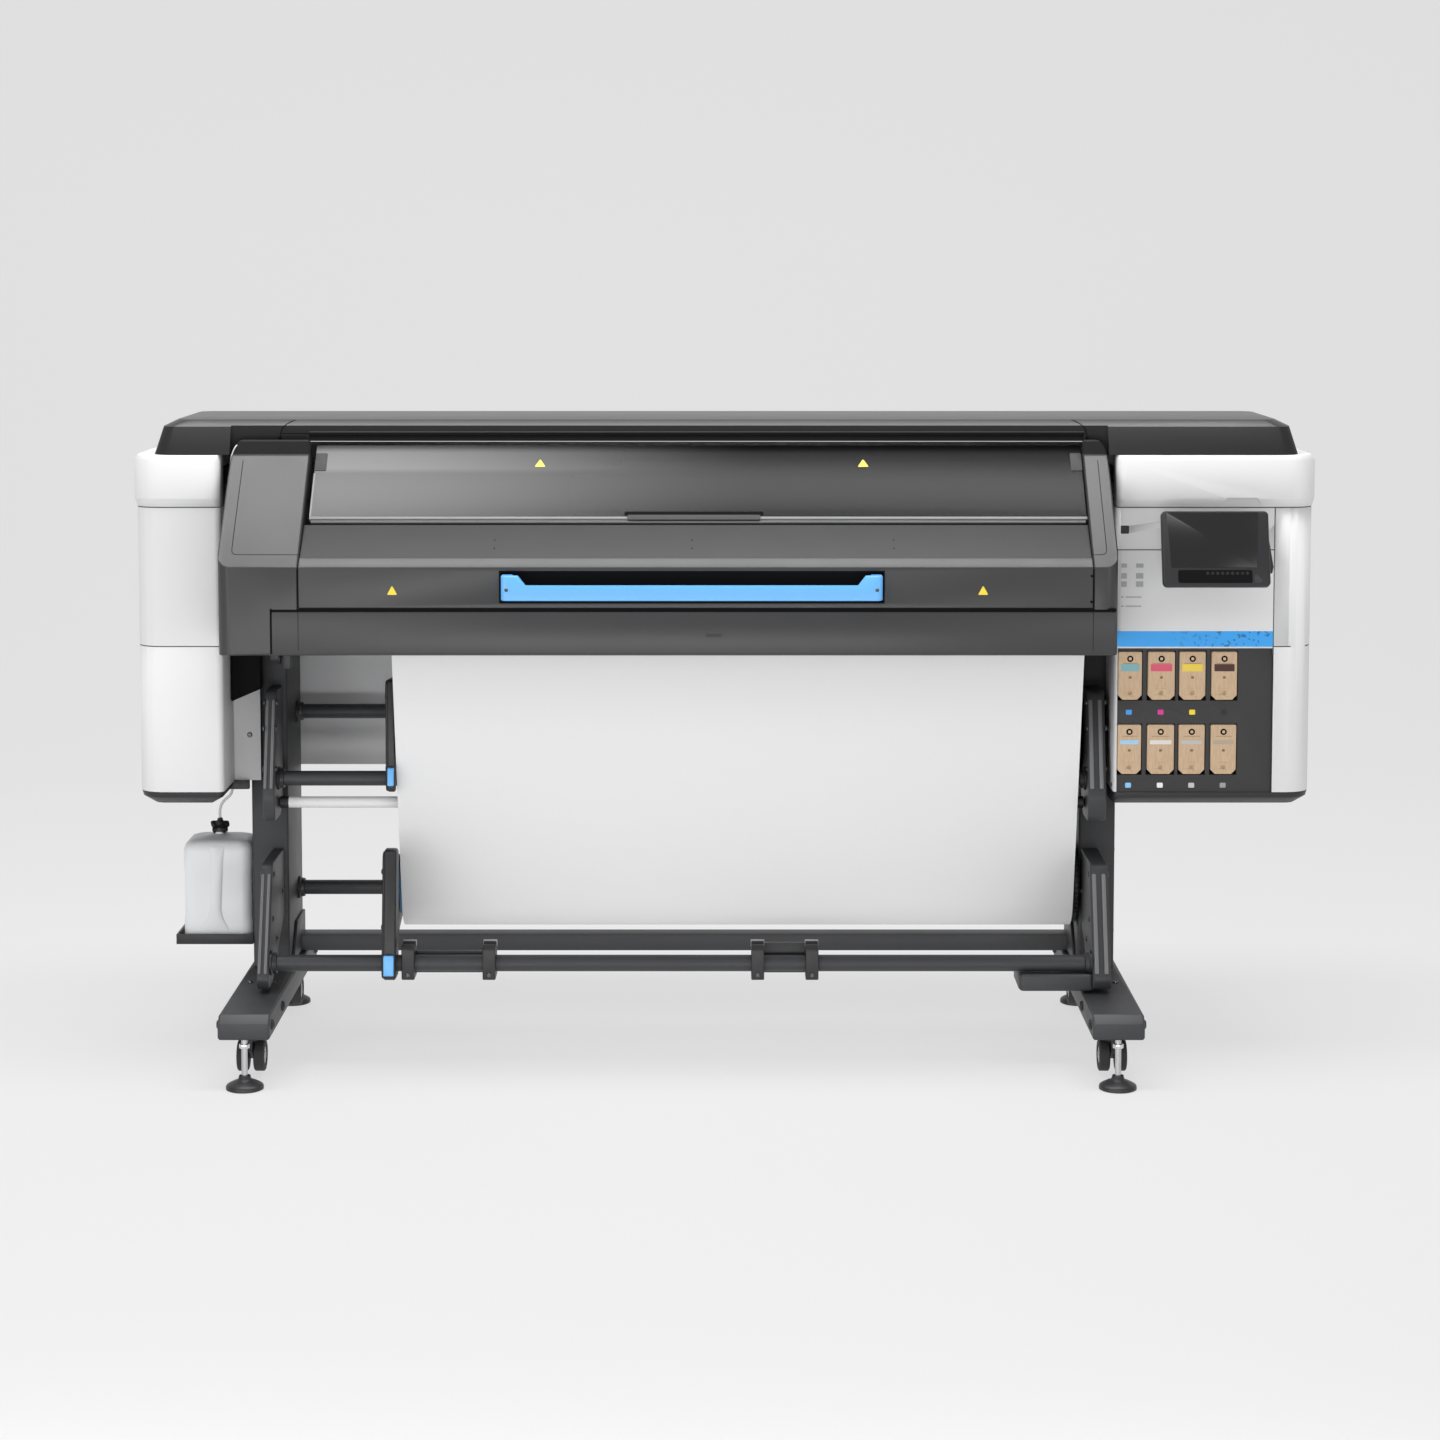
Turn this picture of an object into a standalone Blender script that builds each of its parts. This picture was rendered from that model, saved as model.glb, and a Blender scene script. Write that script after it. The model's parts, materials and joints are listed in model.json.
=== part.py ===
"""A 64-inch roll-to-roll printer with a cross-cutter on its carriage, on a two-leg stand.

Metres. X runs to the right, Y to the rear, Z up. The origin is on the floor, under the middle of
the whole machine. Every outline below is given in world positions.
"""

import math

import bmesh
import bpy
from mathutils import Vector

# ---- driving dimensions ----
HALF_WIDTH = 1.2915
TOP_Z = 1.402
GAP = 0.0005  # between pieces that rest on each other
WALL = 0.004

# stand
LEG_X = {"left": -1.0167, "right": 0.8329}
COLUMN_X = {"left": -1.0213, "right": 0.8372}
BEAM_WIDTH, BEAM_HALF_LENGTH, BEAM_Z = 0.110, 0.400, (0.1075, 0.160)
COLUMN_WIDTH, COLUMN_Y, COLUMN_TOP = 0.082, (0.069, 0.300), 0.9295
FOOT_Y, PAD_RADIUS = 0.386, 0.040
CASTER_Y = (-0.290, 0.310)
CROSS_BEAM_Y, CROSS_BEAM_Z = (0.225, 0.275), (0.1610, 0.1995)

# arms and rails: inner faces of the arms, and (Y, Z, radius) of each rail
ARM_LEFT_X, ARM_RIGHT_X = (-1.016, -0.990), (0.800, 0.840)
LOWER_FRONT_RAIL = (-0.170, 0.222, 0.018)
LOWER_REAR_RAIL = (0.235, 0.3074, 0.0165)
UPPER_FRONT_RAIL = (-0.020, 0.604, 0.0165)
UPPER_REAR_RAIL = (0.235, 0.7165, 0.0165)
TENSION_BAR = (0.000, 0.547, 0.0125)

# rolls and web
WEB_X = (-0.722, 0.780)
TAKEUP_AXIS, TAKEUP_RADIUS = (0.115, 0.345), 0.095
INPUT_AXIS, INPUT_RADIUS = (0.100, 0.686), 0.085
CORE_RADIUS, PLUG_RADIUS, FLANGE_RADIUS = 0.0385, 0.036, 0.075
WEB_THICKNESS, WEB_GAP, WEB_EXIT = 0.0012, 0.001, (-0.150, 0.894)
HUB_PLATE_X = (-0.745, -0.735)

# print zone
BEAM_X = (-1.225, 1.225)
PLATEN_Y, PLATEN_Z = (-0.045, 0.185), (0.930, 1.050)
RAIL_WALL_Y, RAIL_WALL_Z = (0.262, 0.310), (0.930, 1.290)
DRIVE_ROLLER = (0.210, 1.030, 0.020)
CARRIAGE_X, CARRIAGE_Y, CARRIAGE_Z = (0.930, 1.170), (0.000, 0.255), (1.062, 1.290)

# cabinets
SIDE_X = 1.2855
CABINET_Y = (-0.106, 0.400)
CABINET_Z = (0.5875, 1.3270)
BASE_Z = (0.559, 0.587)
BAND_Z = 1.213
LEFT_INNER_X, RIGHT_INNER_X = -1.097, 0.852
BAY_X, BAY_Z = (0.8585, 1.1985), (0.5875, 0.905)

# hood
HOOD_LEFT_X, HOOD_RIGHT_X = (-1.0756, -0.9032), (0.7802, 0.8349)
HOOD_FRONT_Y, HOOD_BOTTOM_Z = -0.310, 0.915
SLOPE_LOW_Z, SLOPE_TOP = 1.103, (-0.0857, 1.3265)
CHEEK_CORNER, CHEEK_SHOULDER, CHEEK_TOP = 0.030, (0.026, 0.058), 1.359
SPLIT_Z = 1.0136
WINDOW_X, WINDOW_TOP, WINDOW_BOTTOM = (-0.892, 0.779), (-0.050, 1.346), (-0.200, 1.195)
WINDOW_HINGE = (-0.0480, 1.3440)
TABLE_HINGE = (-0.304, 1.022)
HANDLE_X, HANDLE_Z = (-0.472, 0.333), (1.035, 1.088)
COVER_FACE_Y, COVER_CHAMFER = -0.0640, 0.015

# touchscreen
SCREEN_X, SCREEN_SIZE, SCREEN_PIVOT = (0.940, 1.171), (0.166, 0.020), (-0.172, 1.118)

# ink cartridges: left and right edge of each column, bottom and top of each row
CARTRIDGE_COLUMNS = ((0.858, 0.912), (0.925, 0.984), (0.994, 1.051), (1.064, 1.120))
CARTRIDGE_ROWS = ((0.791, 0.897), (0.627, 0.736))
CARTRIDGE_DEPTH = 0.146

# waste bottle
BOTTLE_X, BOTTLE_Y, BOTTLE_Z = (-1.223, -1.0665), (0.080, 0.215), (0.2335, 0.450)
CAP_CENTRE, CAP_RADIUS = (-1.147, 0.150), 0.022


# ---- shapes: each function gives a closed mesh ----
PLACES = {
    "X": lambda a, b, along: (along, a, b),
    "Y": lambda a, b, along: (a, along, b),
    "Z": lambda a, b, along: (a, b, along),
}


def turned_by(vector, angle):
    c, s = math.cos(angle), math.sin(angle)
    return Vector((vector.x * c - vector.y * s, vector.x * s + vector.y * c))


def rounded(*corners, steps=3):
    """An outline through (a, b) or (a, b, radius) corners; a radius makes the corner an arc."""
    points = []
    for i, corner in enumerate(corners):
        here = Vector(corner[:2])
        if len(corner) == 2:
            points.append(here)
            continue
        before = (Vector(corners[i - 1][:2]) - here).normalized()
        after = (Vector(corners[(i + 1) % len(corners)][:2]) - here).normalized()
        half = before.angle(after) / 2
        centre = here + (before + after).normalized() * corner[2] / math.sin(half)
        reach = corner[2] / math.tan(half)
        start, end = here + before * reach - centre, here + after * reach - centre
        turn = math.atan2(start.x * end.y - start.y * end.x, start.dot(end))
        points += [centre + turned_by(start, turn * k / steps) for k in range(steps + 1)]
    return points


def loft(rings, closed=False):
    """A skin through rings of equal length, with ends closed unless the last meets the first."""
    shape = bmesh.new()
    rows = [[shape.verts.new(point) for point in ring] for ring in rings]
    pairs = list(zip(rows, rows[1:] + rows[:1])) if closed else list(zip(rows, rows[1:]))
    for one, two in pairs:
        for k in range(len(one)):
            n = (k + 1) % len(one)
            shape.faces.new((one[k], one[n], two[n], two[k]))
    if not closed:
        shape.faces.new(rows[0])
        shape.faces.new(rows[-1])
    return as_mesh(shape)


def as_mesh(shape):
    bmesh.ops.recalc_face_normals(shape, faces=shape.faces)
    mesh = bpy.data.meshes.new("shape")
    shape.to_mesh(mesh)
    shape.free()
    return mesh


def prism(outline, axis, low, high):
    place = PLACES[axis]
    return loft([[place(p[0], p[1], along) for p in outline] for along in (low, high)])


def box(x, y, z, soft=0.0):
    """A block, with its upright edges rounded where soft is given."""
    corners = [(x[0], y[0]), (x[1], y[0]), (x[1], y[1]), (x[0], y[1])]
    if soft:
        corners = rounded(*[(a, b, soft) for a, b in corners])
    return prism(corners, "Z", *z)


def circle(axis, centre, radius, along, sides):
    place = PLACES[axis]
    steps = [2 * math.pi * k / sides for k in range(sides)]
    return [
        place(centre[0] + radius * math.cos(t), centre[1] + radius * math.sin(t), along)
        for t in steps
    ]


def turned(axis, centre, profile, sides=24, closed=False):
    """A turned solid from (along, radius) points; closed makes a ring with a bore."""
    return loft([circle(axis, centre, r, along, sides) for along, r in profile], closed)


def rod(axis, centre, radius, low, high, sides=24):
    return turned(axis, centre, [(low, radius), (high, radius)], sides)


def softened(mesh, width, sharpest=40, segments=1):
    """The mesh with its sharp edges bevelled."""
    shape = bmesh.new()
    shape.from_mesh(mesh)
    limit = math.radians(sharpest)
    edges = [e for e in shape.edges if e.calc_face_angle(0) > limit]
    bmesh.ops.bevel(shape, geom=edges, offset=width, segments=segments, affect="EDGES")
    return as_mesh(shape)


def combined(base, others, operation):
    objects = [bpy.data.objects.new("shape", mesh) for mesh in [base, *others]]
    for made in objects:
        bpy.context.collection.objects.link(made)
    for other in objects[1:]:
        modifier = objects[0].modifiers.new(operation, "BOOLEAN")
        modifier.operation = operation
        modifier.solver = "EXACT"
        modifier.object = other
    graph = bpy.context.evaluated_depsgraph_get()
    mesh = bpy.data.meshes.new_from_object(objects[0].evaluated_get(graph))
    for made in objects:
        bpy.data.objects.remove(made)
    return mesh


def joined(base, *others):
    return combined(base, others, "UNION")


def cut(base, *others):
    return combined(base, others, "DIFFERENCE")


# ---- materials and nodes ----
def material(name, colour, roughness, metallic=0.0):
    made = bpy.data.materials.new(name)
    made.use_nodes = True
    shader = made.node_tree.nodes["Principled BSDF"]
    shader.inputs["Base Color"].default_value = (*colour, 1.0)
    shader.inputs["Roughness"].default_value = roughness
    shader.inputs["Metallic"].default_value = metallic
    return made


def palette():
    return {
        "white": material("white_panel", (0.76, 0.76, 0.78), 0.45),
        "dark": material("dark_panel", (0.06, 0.06, 0.063), 0.5),
        "black": material("black_plastic", (0.02, 0.02, 0.022), 0.45),
        "coat": material("powder_coat", (0.045, 0.046, 0.05), 0.55),
        "blue": material("blue_plastic", (0.08, 0.42, 0.85), 0.4),
        "zinc": material("zinc_steel", (0.62, 0.62, 0.63), 0.35, 1.0),
        "grey": material("grey_sheet", (0.55, 0.56, 0.57), 0.5),
        "glass": material("tinted_window", (0.12, 0.12, 0.13), 0.08),
        "paper": material("print_media", (0.86, 0.86, 0.86), 0.6),
        "card": material("cardboard", (0.66, 0.48, 0.32), 0.8),
        "bottle": material("milky_plastic", (0.80, 0.80, 0.79), 0.35),
        "rubber": material("rubber", (0.03, 0.03, 0.03), 0.8),
        "screen": material("screen_glass", (0.01, 0.01, 0.012), 0.12),
    }


ORIGINS = {}


def node(name, mesh, finish, origin=(0, 0, 0), parent=None):
    """Makes the mesh a named piece whose origin is at this world position."""
    place = Vector(origin)
    for vertex in mesh.vertices:
        vertex.co -= place
    mesh.name = name
    made = bpy.data.objects.new(name, mesh)
    bpy.context.collection.objects.link(made)
    mesh.materials.clear()
    mesh.materials.append(finish)
    mesh.shade_smooth()
    mesh.set_sharp_from_angle(angle=math.radians(30))
    ORIGINS[made] = place
    made.location = place
    if parent:
        made.parent = parent
        made.location = place - ORIGINS[parent]
    return made


# ---- stand ----
def make_leg(side, finish):
    x, column_x = LEG_X[side], COLUMN_X[side]
    low, high = BEAM_Z
    end = BEAM_HALF_LENGTH
    outline = rounded(
        (-end, low, 0.006), (-end, low + 0.034, 0.006), (-end + 0.020, high, 0.006),
        (end - 0.020, high, 0.006), (end, low + 0.034, 0.006), (end, low, 0.006),
    )
    half = BEAM_WIDTH / 2
    beam = softened(prism(outline, "X", x - half, x + half), 0.004)
    half = COLUMN_WIDTH / 2
    column = box((column_x - half, column_x + half), COLUMN_Y, (high - 0.01, COLUMN_TOP), 0.006)
    return node(f"{side}_leg", joined(beam, column), finish)


def make_feet(finish):
    """A levelling foot under each end of each leg: domed pad, threaded rod and lock nut."""
    top = BEAM_Z[0] - GAP
    profile = [
        (0.0, PAD_RADIUS), (0.007, PAD_RADIUS), (0.013, 0.034), (0.018, 0.024),
        (0.021, 0.015), (0.030, 0.012), (0.030, 0.0068), (0.088, 0.0068),
        (0.088, 0.013), (0.098, 0.013), (0.098, 0.0068), (top, 0.0068),
    ]
    for side, x in LEG_X.items():
        for end, y in (("front", -FOOT_Y), ("rear", FOOT_Y)):
            foot = turned("Z", (x, y), profile)
            node(f"{side}_{end}_levelling_foot", foot, finish, (x, y, 0))


def make_casters(finish):
    """Twin-wheel casters, which hang just clear of the floor while the levelling feet carry."""
    radius, axle_z, top = 0.034, 0.046, BEAM_Z[0] - GAP
    for side, x in LEG_X.items():
        for end, y in zip(("front", "rear"), CASTER_Y):
            left = rod("X", (y + 0.012, axle_z), radius, x - 0.030, x - 0.006)
            right = rod("X", (y + 0.012, axle_z), radius, x + 0.006, x + 0.030)
            axle = rod("X", (y + 0.012, axle_z), 0.006, x - 0.020, x + 0.020, 12)
            outline = rounded(
                (y - 0.022, 0.088, 0.006), (y - 0.020, 0.062, 0.01), (y + 0.012, 0.036, 0.006),
                (y + 0.030, 0.060, 0.006), (y + 0.022, 0.088, 0.006),
            )
            fork = prism(outline, "X", x - 0.0045, x + 0.0045)
            stem = turned("Z", (x, y), [(0.080, 0.016), (0.092, 0.024), (top, 0.024)])
            mesh = joined(fork, axle, left, right, stem)
            node(f"{side}_{end}_caster", mesh, finish, (x, y, top))


def make_cross_beam(finish):
    inner = COLUMN_WIDTH / 2 + GAP
    x = (COLUMN_X["left"] + inner, COLUMN_X["right"] - inner)
    beam = box(x, CROSS_BEAM_Y, CROSS_BEAM_Z)
    plate = 0.006
    low, high = CROSS_BEAM_Z
    ends = [
        prism([(0.09, low), (0.29, low), (0.29, high + 0.045), (0.16, high + 0.045)], "X", a, a + plate)
        for a in (x[0], x[1] - plate)
    ]
    node("cross_beam", joined(beam, *ends), finish)


def rail(name, place, finish):
    y, z, radius = place
    low, high = ARM_LEFT_X[1] + GAP, ARM_RIGHT_X[0] - GAP
    if y > COLUMN_Y[0]:
        inner = COLUMN_WIDTH / 2 + GAP
        low, high = COLUMN_X["left"] + inner, COLUMN_X["right"] - inner
    node(name, rod("X", (y, z), radius, low, high), finish)


def make_arms(finish):
    """The plates bolted to the front of the columns, which carry the rails."""
    back = COLUMN_Y[0] - GAP
    upper = rounded(
        (back, 0.800), (-0.020, 0.800, 0.02), (-0.085, 0.570, 0.03), (-0.070, 0.515, 0.02),
        (0.020, 0.515, 0.02), (back, 0.560),
    )
    lower = rounded(
        (back, 0.430), (-0.120, 0.430, 0.02), (-0.208, 0.190, 0.02), (-0.198, 0.170, 0.01),
        (-0.140, 0.170, 0.02), (back, 0.290),
    )
    motor = box((0.640, 0.803), (-0.200, -0.060), (0.166, 0.2025), 0.012)
    motor_cover = softened(motor, 0.004)
    for side, x in (("left", ARM_LEFT_X), ("right", ARM_RIGHT_X)):
        node(f"{side}_upper_arm", softened(prism(upper, "X", *x), 0.002), finish)
        mesh = softened(prism(lower, "X", *x), 0.002)
        if side == "right":
            mesh = joined(mesh, motor_cover)
        node(f"{side}_lower_arm", mesh, finish)


def make_stand(looks):
    for side in LEG_X:
        make_leg(side, looks["coat"])
    make_feet(looks["zinc"])
    make_casters(looks["black"])
    make_cross_beam(looks["coat"])
    make_arms(looks["coat"])
    rail("lower_front_rail", LOWER_FRONT_RAIL, looks["coat"])
    rail("lower_rear_rail", LOWER_REAR_RAIL, looks["coat"])
    rail("upper_front_rail", UPPER_FRONT_RAIL, looks["coat"])
    rail("upper_rear_rail", UPPER_REAR_RAIL, looks["coat"])
    y, z, radius = TENSION_BAR
    bar = rod("X", (y, z), radius, ARM_LEFT_X[1] + GAP, ARM_RIGHT_X[0] - GAP)
    node("tension_bar", bar, looks["paper"], (0, y, z))


# ---- rolls, hubs and web ----
def web_tangent():
    """Angle on the take-up roll where the web that falls from the hood first touches it."""
    from_axis = Vector(WEB_EXIT) - Vector(TAKEUP_AXIS)
    reach = TAKEUP_RADIUS + WEB_GAP
    return math.atan2(from_axis.y, from_axis.x) + math.acos(reach / from_axis.length)


def web_path():
    """The web in YZ: off the back of the input roll, over the platen, down to the take-up roll."""
    y, z = INPUT_AXIS
    reach = INPUT_RADIUS + WEB_GAP
    path = [(y + reach * math.cos(t), z + reach * math.sin(t)) for t in (-0.6, -0.45, -0.3, -0.15, 0)]
    ry, rz, radius = DRIVE_ROLLER
    around = radius + 0.001
    path += [(ry + around * math.cos(t), rz + around * math.sin(t)) for t in (0.0, 0.5, 1.0, 1.5708)]
    path += [(-0.050, rz + around), (-0.085, 1.043), (-0.118, 1.012), (-0.140, 0.960)]
    path.append(WEB_EXIT)
    y, z = TAKEUP_AXIS
    reach = TAKEUP_RADIUS + WEB_GAP
    start = web_tangent()
    turns = [start + k * (1.5 * math.pi + 0.25 - start) / 10 for k in range(11)]
    return path + [(y + reach * math.cos(t), z + reach * math.sin(t)) for t in turns]


def ribbon(path, thickness):
    """The path with a second path beside it, on the side away from the rolls."""
    points = [Vector(p) for p in path]
    outer = []
    for i, point in enumerate(points):
        along = (points[min(i + 1, len(points) - 1)] - points[max(i - 1, 0)]).normalized()
        outer.append(point + Vector((along.y, -along.x)) * thickness)
    return [*points, *reversed(outer)]


def make_roll(name, axis, radius, finish):
    y, z = axis
    low, high = WEB_X
    profile = [(low, CORE_RADIUS), (low, radius), (high, radius), (high, CORE_RADIUS)]
    node(name, turned("X", axis, profile, 48, closed=True), finish, (0, y, z))


def make_idle_hub(name, axis, finish):
    """Flange and plug that carry the left end of a roll's core."""
    face, root = WEB_X[0] - 0.0015, HUB_PLATE_X[1] + 0.001
    y, z = axis
    profile = [
        (root, 0.030), (root + 0.003, FLANGE_RADIUS), (face, FLANGE_RADIUS), (face, PLUG_RADIUS),
        (face + 0.050, PLUG_RADIUS), (face + 0.058, 0.030),
    ]
    node(name, turned("X", axis, profile, 32), finish, (root, y, z))


def make_drive_hub(name, axis, finish):
    """Ridged flange and plug that turn the right end of a roll's core."""
    face, root = WEB_X[1] + 0.0015, COLUMN_X["right"] - COLUMN_WIDTH / 2 - 0.0015
    y, z = axis
    profile = [
        (face - 0.060, 0.030), (face - 0.052, PLUG_RADIUS), (face, PLUG_RADIUS),
        (face, FLANGE_RADIUS + 0.012), (face + 0.005, FLANGE_RADIUS + 0.015),
        (face + 0.0105, FLANGE_RADIUS + 0.015), (root, FLANGE_RADIUS + 0.010),
    ]
    node(name, turned("X", axis, profile, 32), finish, (root, y, z))


def hub_arm(name, outline, rails, cover, finish):
    """A plate that slides along two rails, with a deeper cover on its front edge."""
    low, high = HUB_PLATE_X
    plate = softened(prism(outline, "X", low, high), 0.002)
    front = softened(prism(cover[0], "X", low + 0.004, cover[1]), 0.003)
    bores = [rod("X", (y, z), r + 0.001, low - 0.05, cover[1] + 0.05, 32) for y, z, r in rails]
    node(name, cut(joined(plate, front), *bores), finish, (low, rails[0][0], rails[0][1]))


def make_hub_arms(looks):
    takeup = rounded(
        (-0.160, 0.468, 0.02), (-0.208, 0.195, 0.015), (-0.150, 0.185, 0.02),
        (0.235, 0.268, 0.03), (0.270, 0.307, 0.025), (0.235, 0.345, 0.03), (0.130, 0.405, 0.04),
    )
    front = rounded(
        (-0.163, 0.470, 0.008), (-0.216, 0.192, 0.012), (-0.140, 0.190, 0.012), (-0.110, 0.468, 0.02),
    )
    hub_arm("takeup_hub_arm", takeup, (LOWER_FRONT_RAIL, LOWER_REAR_RAIL), (front, -0.714),
            looks["black"])
    upper = rounded(
        (-0.074, 0.830, 0.012), (-0.080, 0.585, 0.015), (0.020, 0.570, 0.02),
        (0.235, 0.680, 0.03), (0.268, 0.7165, 0.025), (0.235, 0.752, 0.03), (0.050, 0.820, 0.03),
    )
    front = rounded(
        (-0.078, 0.832, 0.008), (-0.086, 0.583, 0.010), (-0.062, 0.583, 0.008),
        (-0.050, 0.832, 0.008),
    )
    hub_arm("input_hub_arm", upper, (UPPER_FRONT_RAIL, UPPER_REAR_RAIL), (front, -0.7235),
            looks["black"])


def lock_lever(name, pivot, drop, x, finish):
    """A thumb lever on the front of a hub arm, pivoted at its top."""
    y, z = pivot
    outline = rounded(
        (y + 0.005, z + 0.006, 0.004), (y - 0.006, z + 0.006, 0.005),
        (y - 0.010, z - drop, 0.004), (y + 0.001, z - drop, 0.003),
    )
    lever = softened(prism(outline, "X", *x), 0.0015)
    node(name, lever, finish, (sum(x) / 2, y, z))


def make_cradle(name, centres, plate_z, finish):
    """Two collars on the lower front rail, joined by a plate, on which a spindle is laid."""
    y, z, radius = LOWER_FRONT_RAIL
    outline = rounded(
        (y - 0.030, z - 0.032, 0.006), (y + 0.034, z - 0.032, 0.006), (y + 0.034, z + 0.040, 0.008),
        (y + 0.014, z + 0.046, 0.004), (y + 0.002, z + 0.028, 0.01), (y - 0.016, z + 0.046, 0.004),
        (y - 0.030, z + 0.036, 0.006),
    )
    collars = [softened(prism(outline, "X", c - 0.014, c + 0.014), 0.0015) for c in centres]
    plate = box((centres[0], centres[1]), (y + 0.022, y + 0.031), plate_z)
    bore = rod("X", (y, z), radius + 0.001, centres[0] - 0.05, centres[1] + 0.05)
    node(name, cut(joined(*collars, plate), bore), finish, (centres[0], y, z))


def make_media(looks):
    make_roll("takeup_roll", TAKEUP_AXIS, TAKEUP_RADIUS, looks["paper"])
    make_roll("input_roll", INPUT_AXIS, INPUT_RADIUS, looks["paper"])
    make_idle_hub("takeup_idle_hub", TAKEUP_AXIS, looks["blue"])
    make_idle_hub("input_idle_hub", INPUT_AXIS, looks["blue"])
    make_drive_hub("takeup_drive_hub", TAKEUP_AXIS, looks["black"])
    make_drive_hub("input_drive_hub", INPUT_AXIS, looks["black"])
    make_hub_arms(looks)
    lock_lever("takeup_lock_lever", (-0.219, 0.243), 0.038, (-0.7385, -0.7165), looks["blue"])
    lock_lever("input_lock_lever", (-0.0955, 0.634), 0.034, (-0.7390, -0.7255), looks["blue"])
    make_cradle("left_cradle", (-0.688, -0.512), (0.196, 0.244), looks["black"])
    make_cradle("right_cradle", (0.072, 0.190), (0.196, 0.262), looks["black"])
    web = prism(ribbon(web_path(), WEB_THICKNESS), "X", *WEB_X)
    node("media_web", web, looks["paper"])


# ---- print zone ----
def make_print_zone(looks):
    platen = box(BEAM_X, PLATEN_Y, PLATEN_Z)
    wall = box(BEAM_X, RAIL_WALL_Y, RAIL_WALL_Z)
    ends = [
        box((low, high), (PLATEN_Y[1] - 0.02, RAIL_WALL_Y[0] + 0.02), (PLATEN_Z[0], PLATEN_Z[0] + 0.05))
        for low, high in ((BEAM_X[0], -0.780), (0.840, BEAM_X[1]))
    ]
    slide_y = (RAIL_WALL_Y[0] - 0.012, RAIL_WALL_Y[0] + 0.01)
    slides = [box(BEAM_X, slide_y, (z, z + 0.014)) for z in (1.11, 1.24)]
    node("print_beam", joined(platen, wall, *ends, *slides), looks["zinc"])
    y, z, radius = DRIVE_ROLLER
    node("drive_roller", rod("X", (y, z), radius, -0.770, 0.830), looks["rubber"], (0, y, z))

    x, back = CARRIAGE_X, RAIL_WALL_Y[0] - 0.0125
    outline = rounded(
        (0.000, 1.064, 0.006), (0.000, 1.230, 0.02), (0.060, 1.290, 0.02), (back, 1.290, 0.006),
        (back, 1.064, 0.006),
    )
    body = softened(prism(outline, "X", *x), 0.003)
    pocket = box((x[0] - 0.01, x[0] + 0.030), (0.040, 0.080), (1.05, 1.12))
    centre = (sum(x) / 2, (CARRIAGE_Y[0] + back) / 2, 1.18)
    carriage = node("carriage", cut(body, pocket), looks["black"], centre)
    blade = prism([(0.052, 1.1155), (0.068, 1.1155), (0.068, 1.068), (0.060, 1.0585), (0.052, 1.068)],
                  "X", x[0] + 0.008, x[0] + 0.012)
    holder = box((x[0] + 0.003, x[0] + 0.027), (0.045, 0.075), (1.074, 1.1155))
    node("cutter", joined(holder, blade), looks["blue"], (x[0] + 0.015, 0.060, 1.09), carriage)


# ---- cabinets ----
def cabinet_plan(outer_x, inner_x, step_x, inset=0.0):
    """Plan of a cabinet: large outer corners, and a step back beside the leg column."""
    side = 1 if outer_x > 0 else -1
    front, back = CABINET_Y[0] + inset, CABINET_Y[1] - inset
    outer, inner, step = outer_x - side * inset, inner_x + side * inset, step_x + side * inset
    corner, tight = 0.055 - inset, max(0.014 - inset, 0.002)
    return rounded(
        (inner, front, tight), (outer, front, corner), (outer, back, corner),
        (step, back, 0.006), (step, 0.055 - inset, 0.004), (inner, 0.055 - inset, 0.004), steps=5,
    )


def cabinet_shell(outer_x, inner_x, step_x, tunnel_x):
    """Panels round the cabinet with a fuller band on top, open below and where the beam runs in."""
    low, high = CABINET_Z
    proud = HALF_WIDTH - SIDE_X
    side = 1 if outer_x > 0 else -1
    steps = ((0.0, low), (0.0, BAND_Z), (-proud, BAND_Z + 0.020), (-proud, high - 0.012), (0.002, high))
    shell = loft([
        [(a, b, z) for a, b in cabinet_plan(outer_x, inner_x + side * max(0, -grow), step_x, grow)]
        for grow, z in steps
    ])
    hollow = prism(cabinet_plan(outer_x, inner_x, step_x, WALL), "Z", low - 0.01, high - WALL)
    tunnel_z = (PLATEN_Z[0] - 0.01, CARRIAGE_Z[1] + 0.010)
    tunnel = box(tunnel_x, (PLATEN_Y[0] - 0.012, RAIL_WALL_Y[1] + 0.01), tunnel_z)
    return cut(shell, hollow, tunnel)


def base_tray(outer_x, inner_x, step_x, upright=0.0):
    """Tray with a turned-in lower edge, under a cabinet; upright is how far its inner end stays straight."""
    low, high = BASE_Z
    rings = ((0.030, low), (0.004, low + 0.016), (0.0005, high))
    rows = []
    for grow, z in rings:
        back = upright * max(grow - 0.002, 0.0)
        rows.append([(a, b, z) for a, b in cabinet_plan(outer_x, inner_x - back, step_x - back, grow)])
    tray = loft(rows)
    inside = prism(cabinet_plan(outer_x, inner_x, step_x, 0.036), "Z", low + WALL, high + 0.01)
    return cut(tray, inside)


def make_left_cabinet(looks):
    step_x = LEFT_INNER_X - 0.012
    shell = cabinet_shell(-SIDE_X, LEFT_INNER_X, step_x, (-1.13, -1.08))
    recess = box((LEFT_INNER_X - 0.008, -1.0380), (0.052, 0.056), (CABINET_Z[0], 0.860))
    node("left_cabinet", joined(shell, recess), looks["white"])
    lip = box((step_x - 0.010, -1.0640), (0.040, 0.058), (BASE_Z[0] + 0.010, BASE_Z[1]))
    node("left_base", joined(base_tray(-SIDE_X, LEFT_INNER_X, step_x), lip), looks["black"])


def cartridge_places():
    """(x range, z range) of each ink cartridge, top row first."""
    return [(x, z) for z in CARTRIDGE_ROWS for x in CARTRIDGE_COLUMNS]


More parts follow.
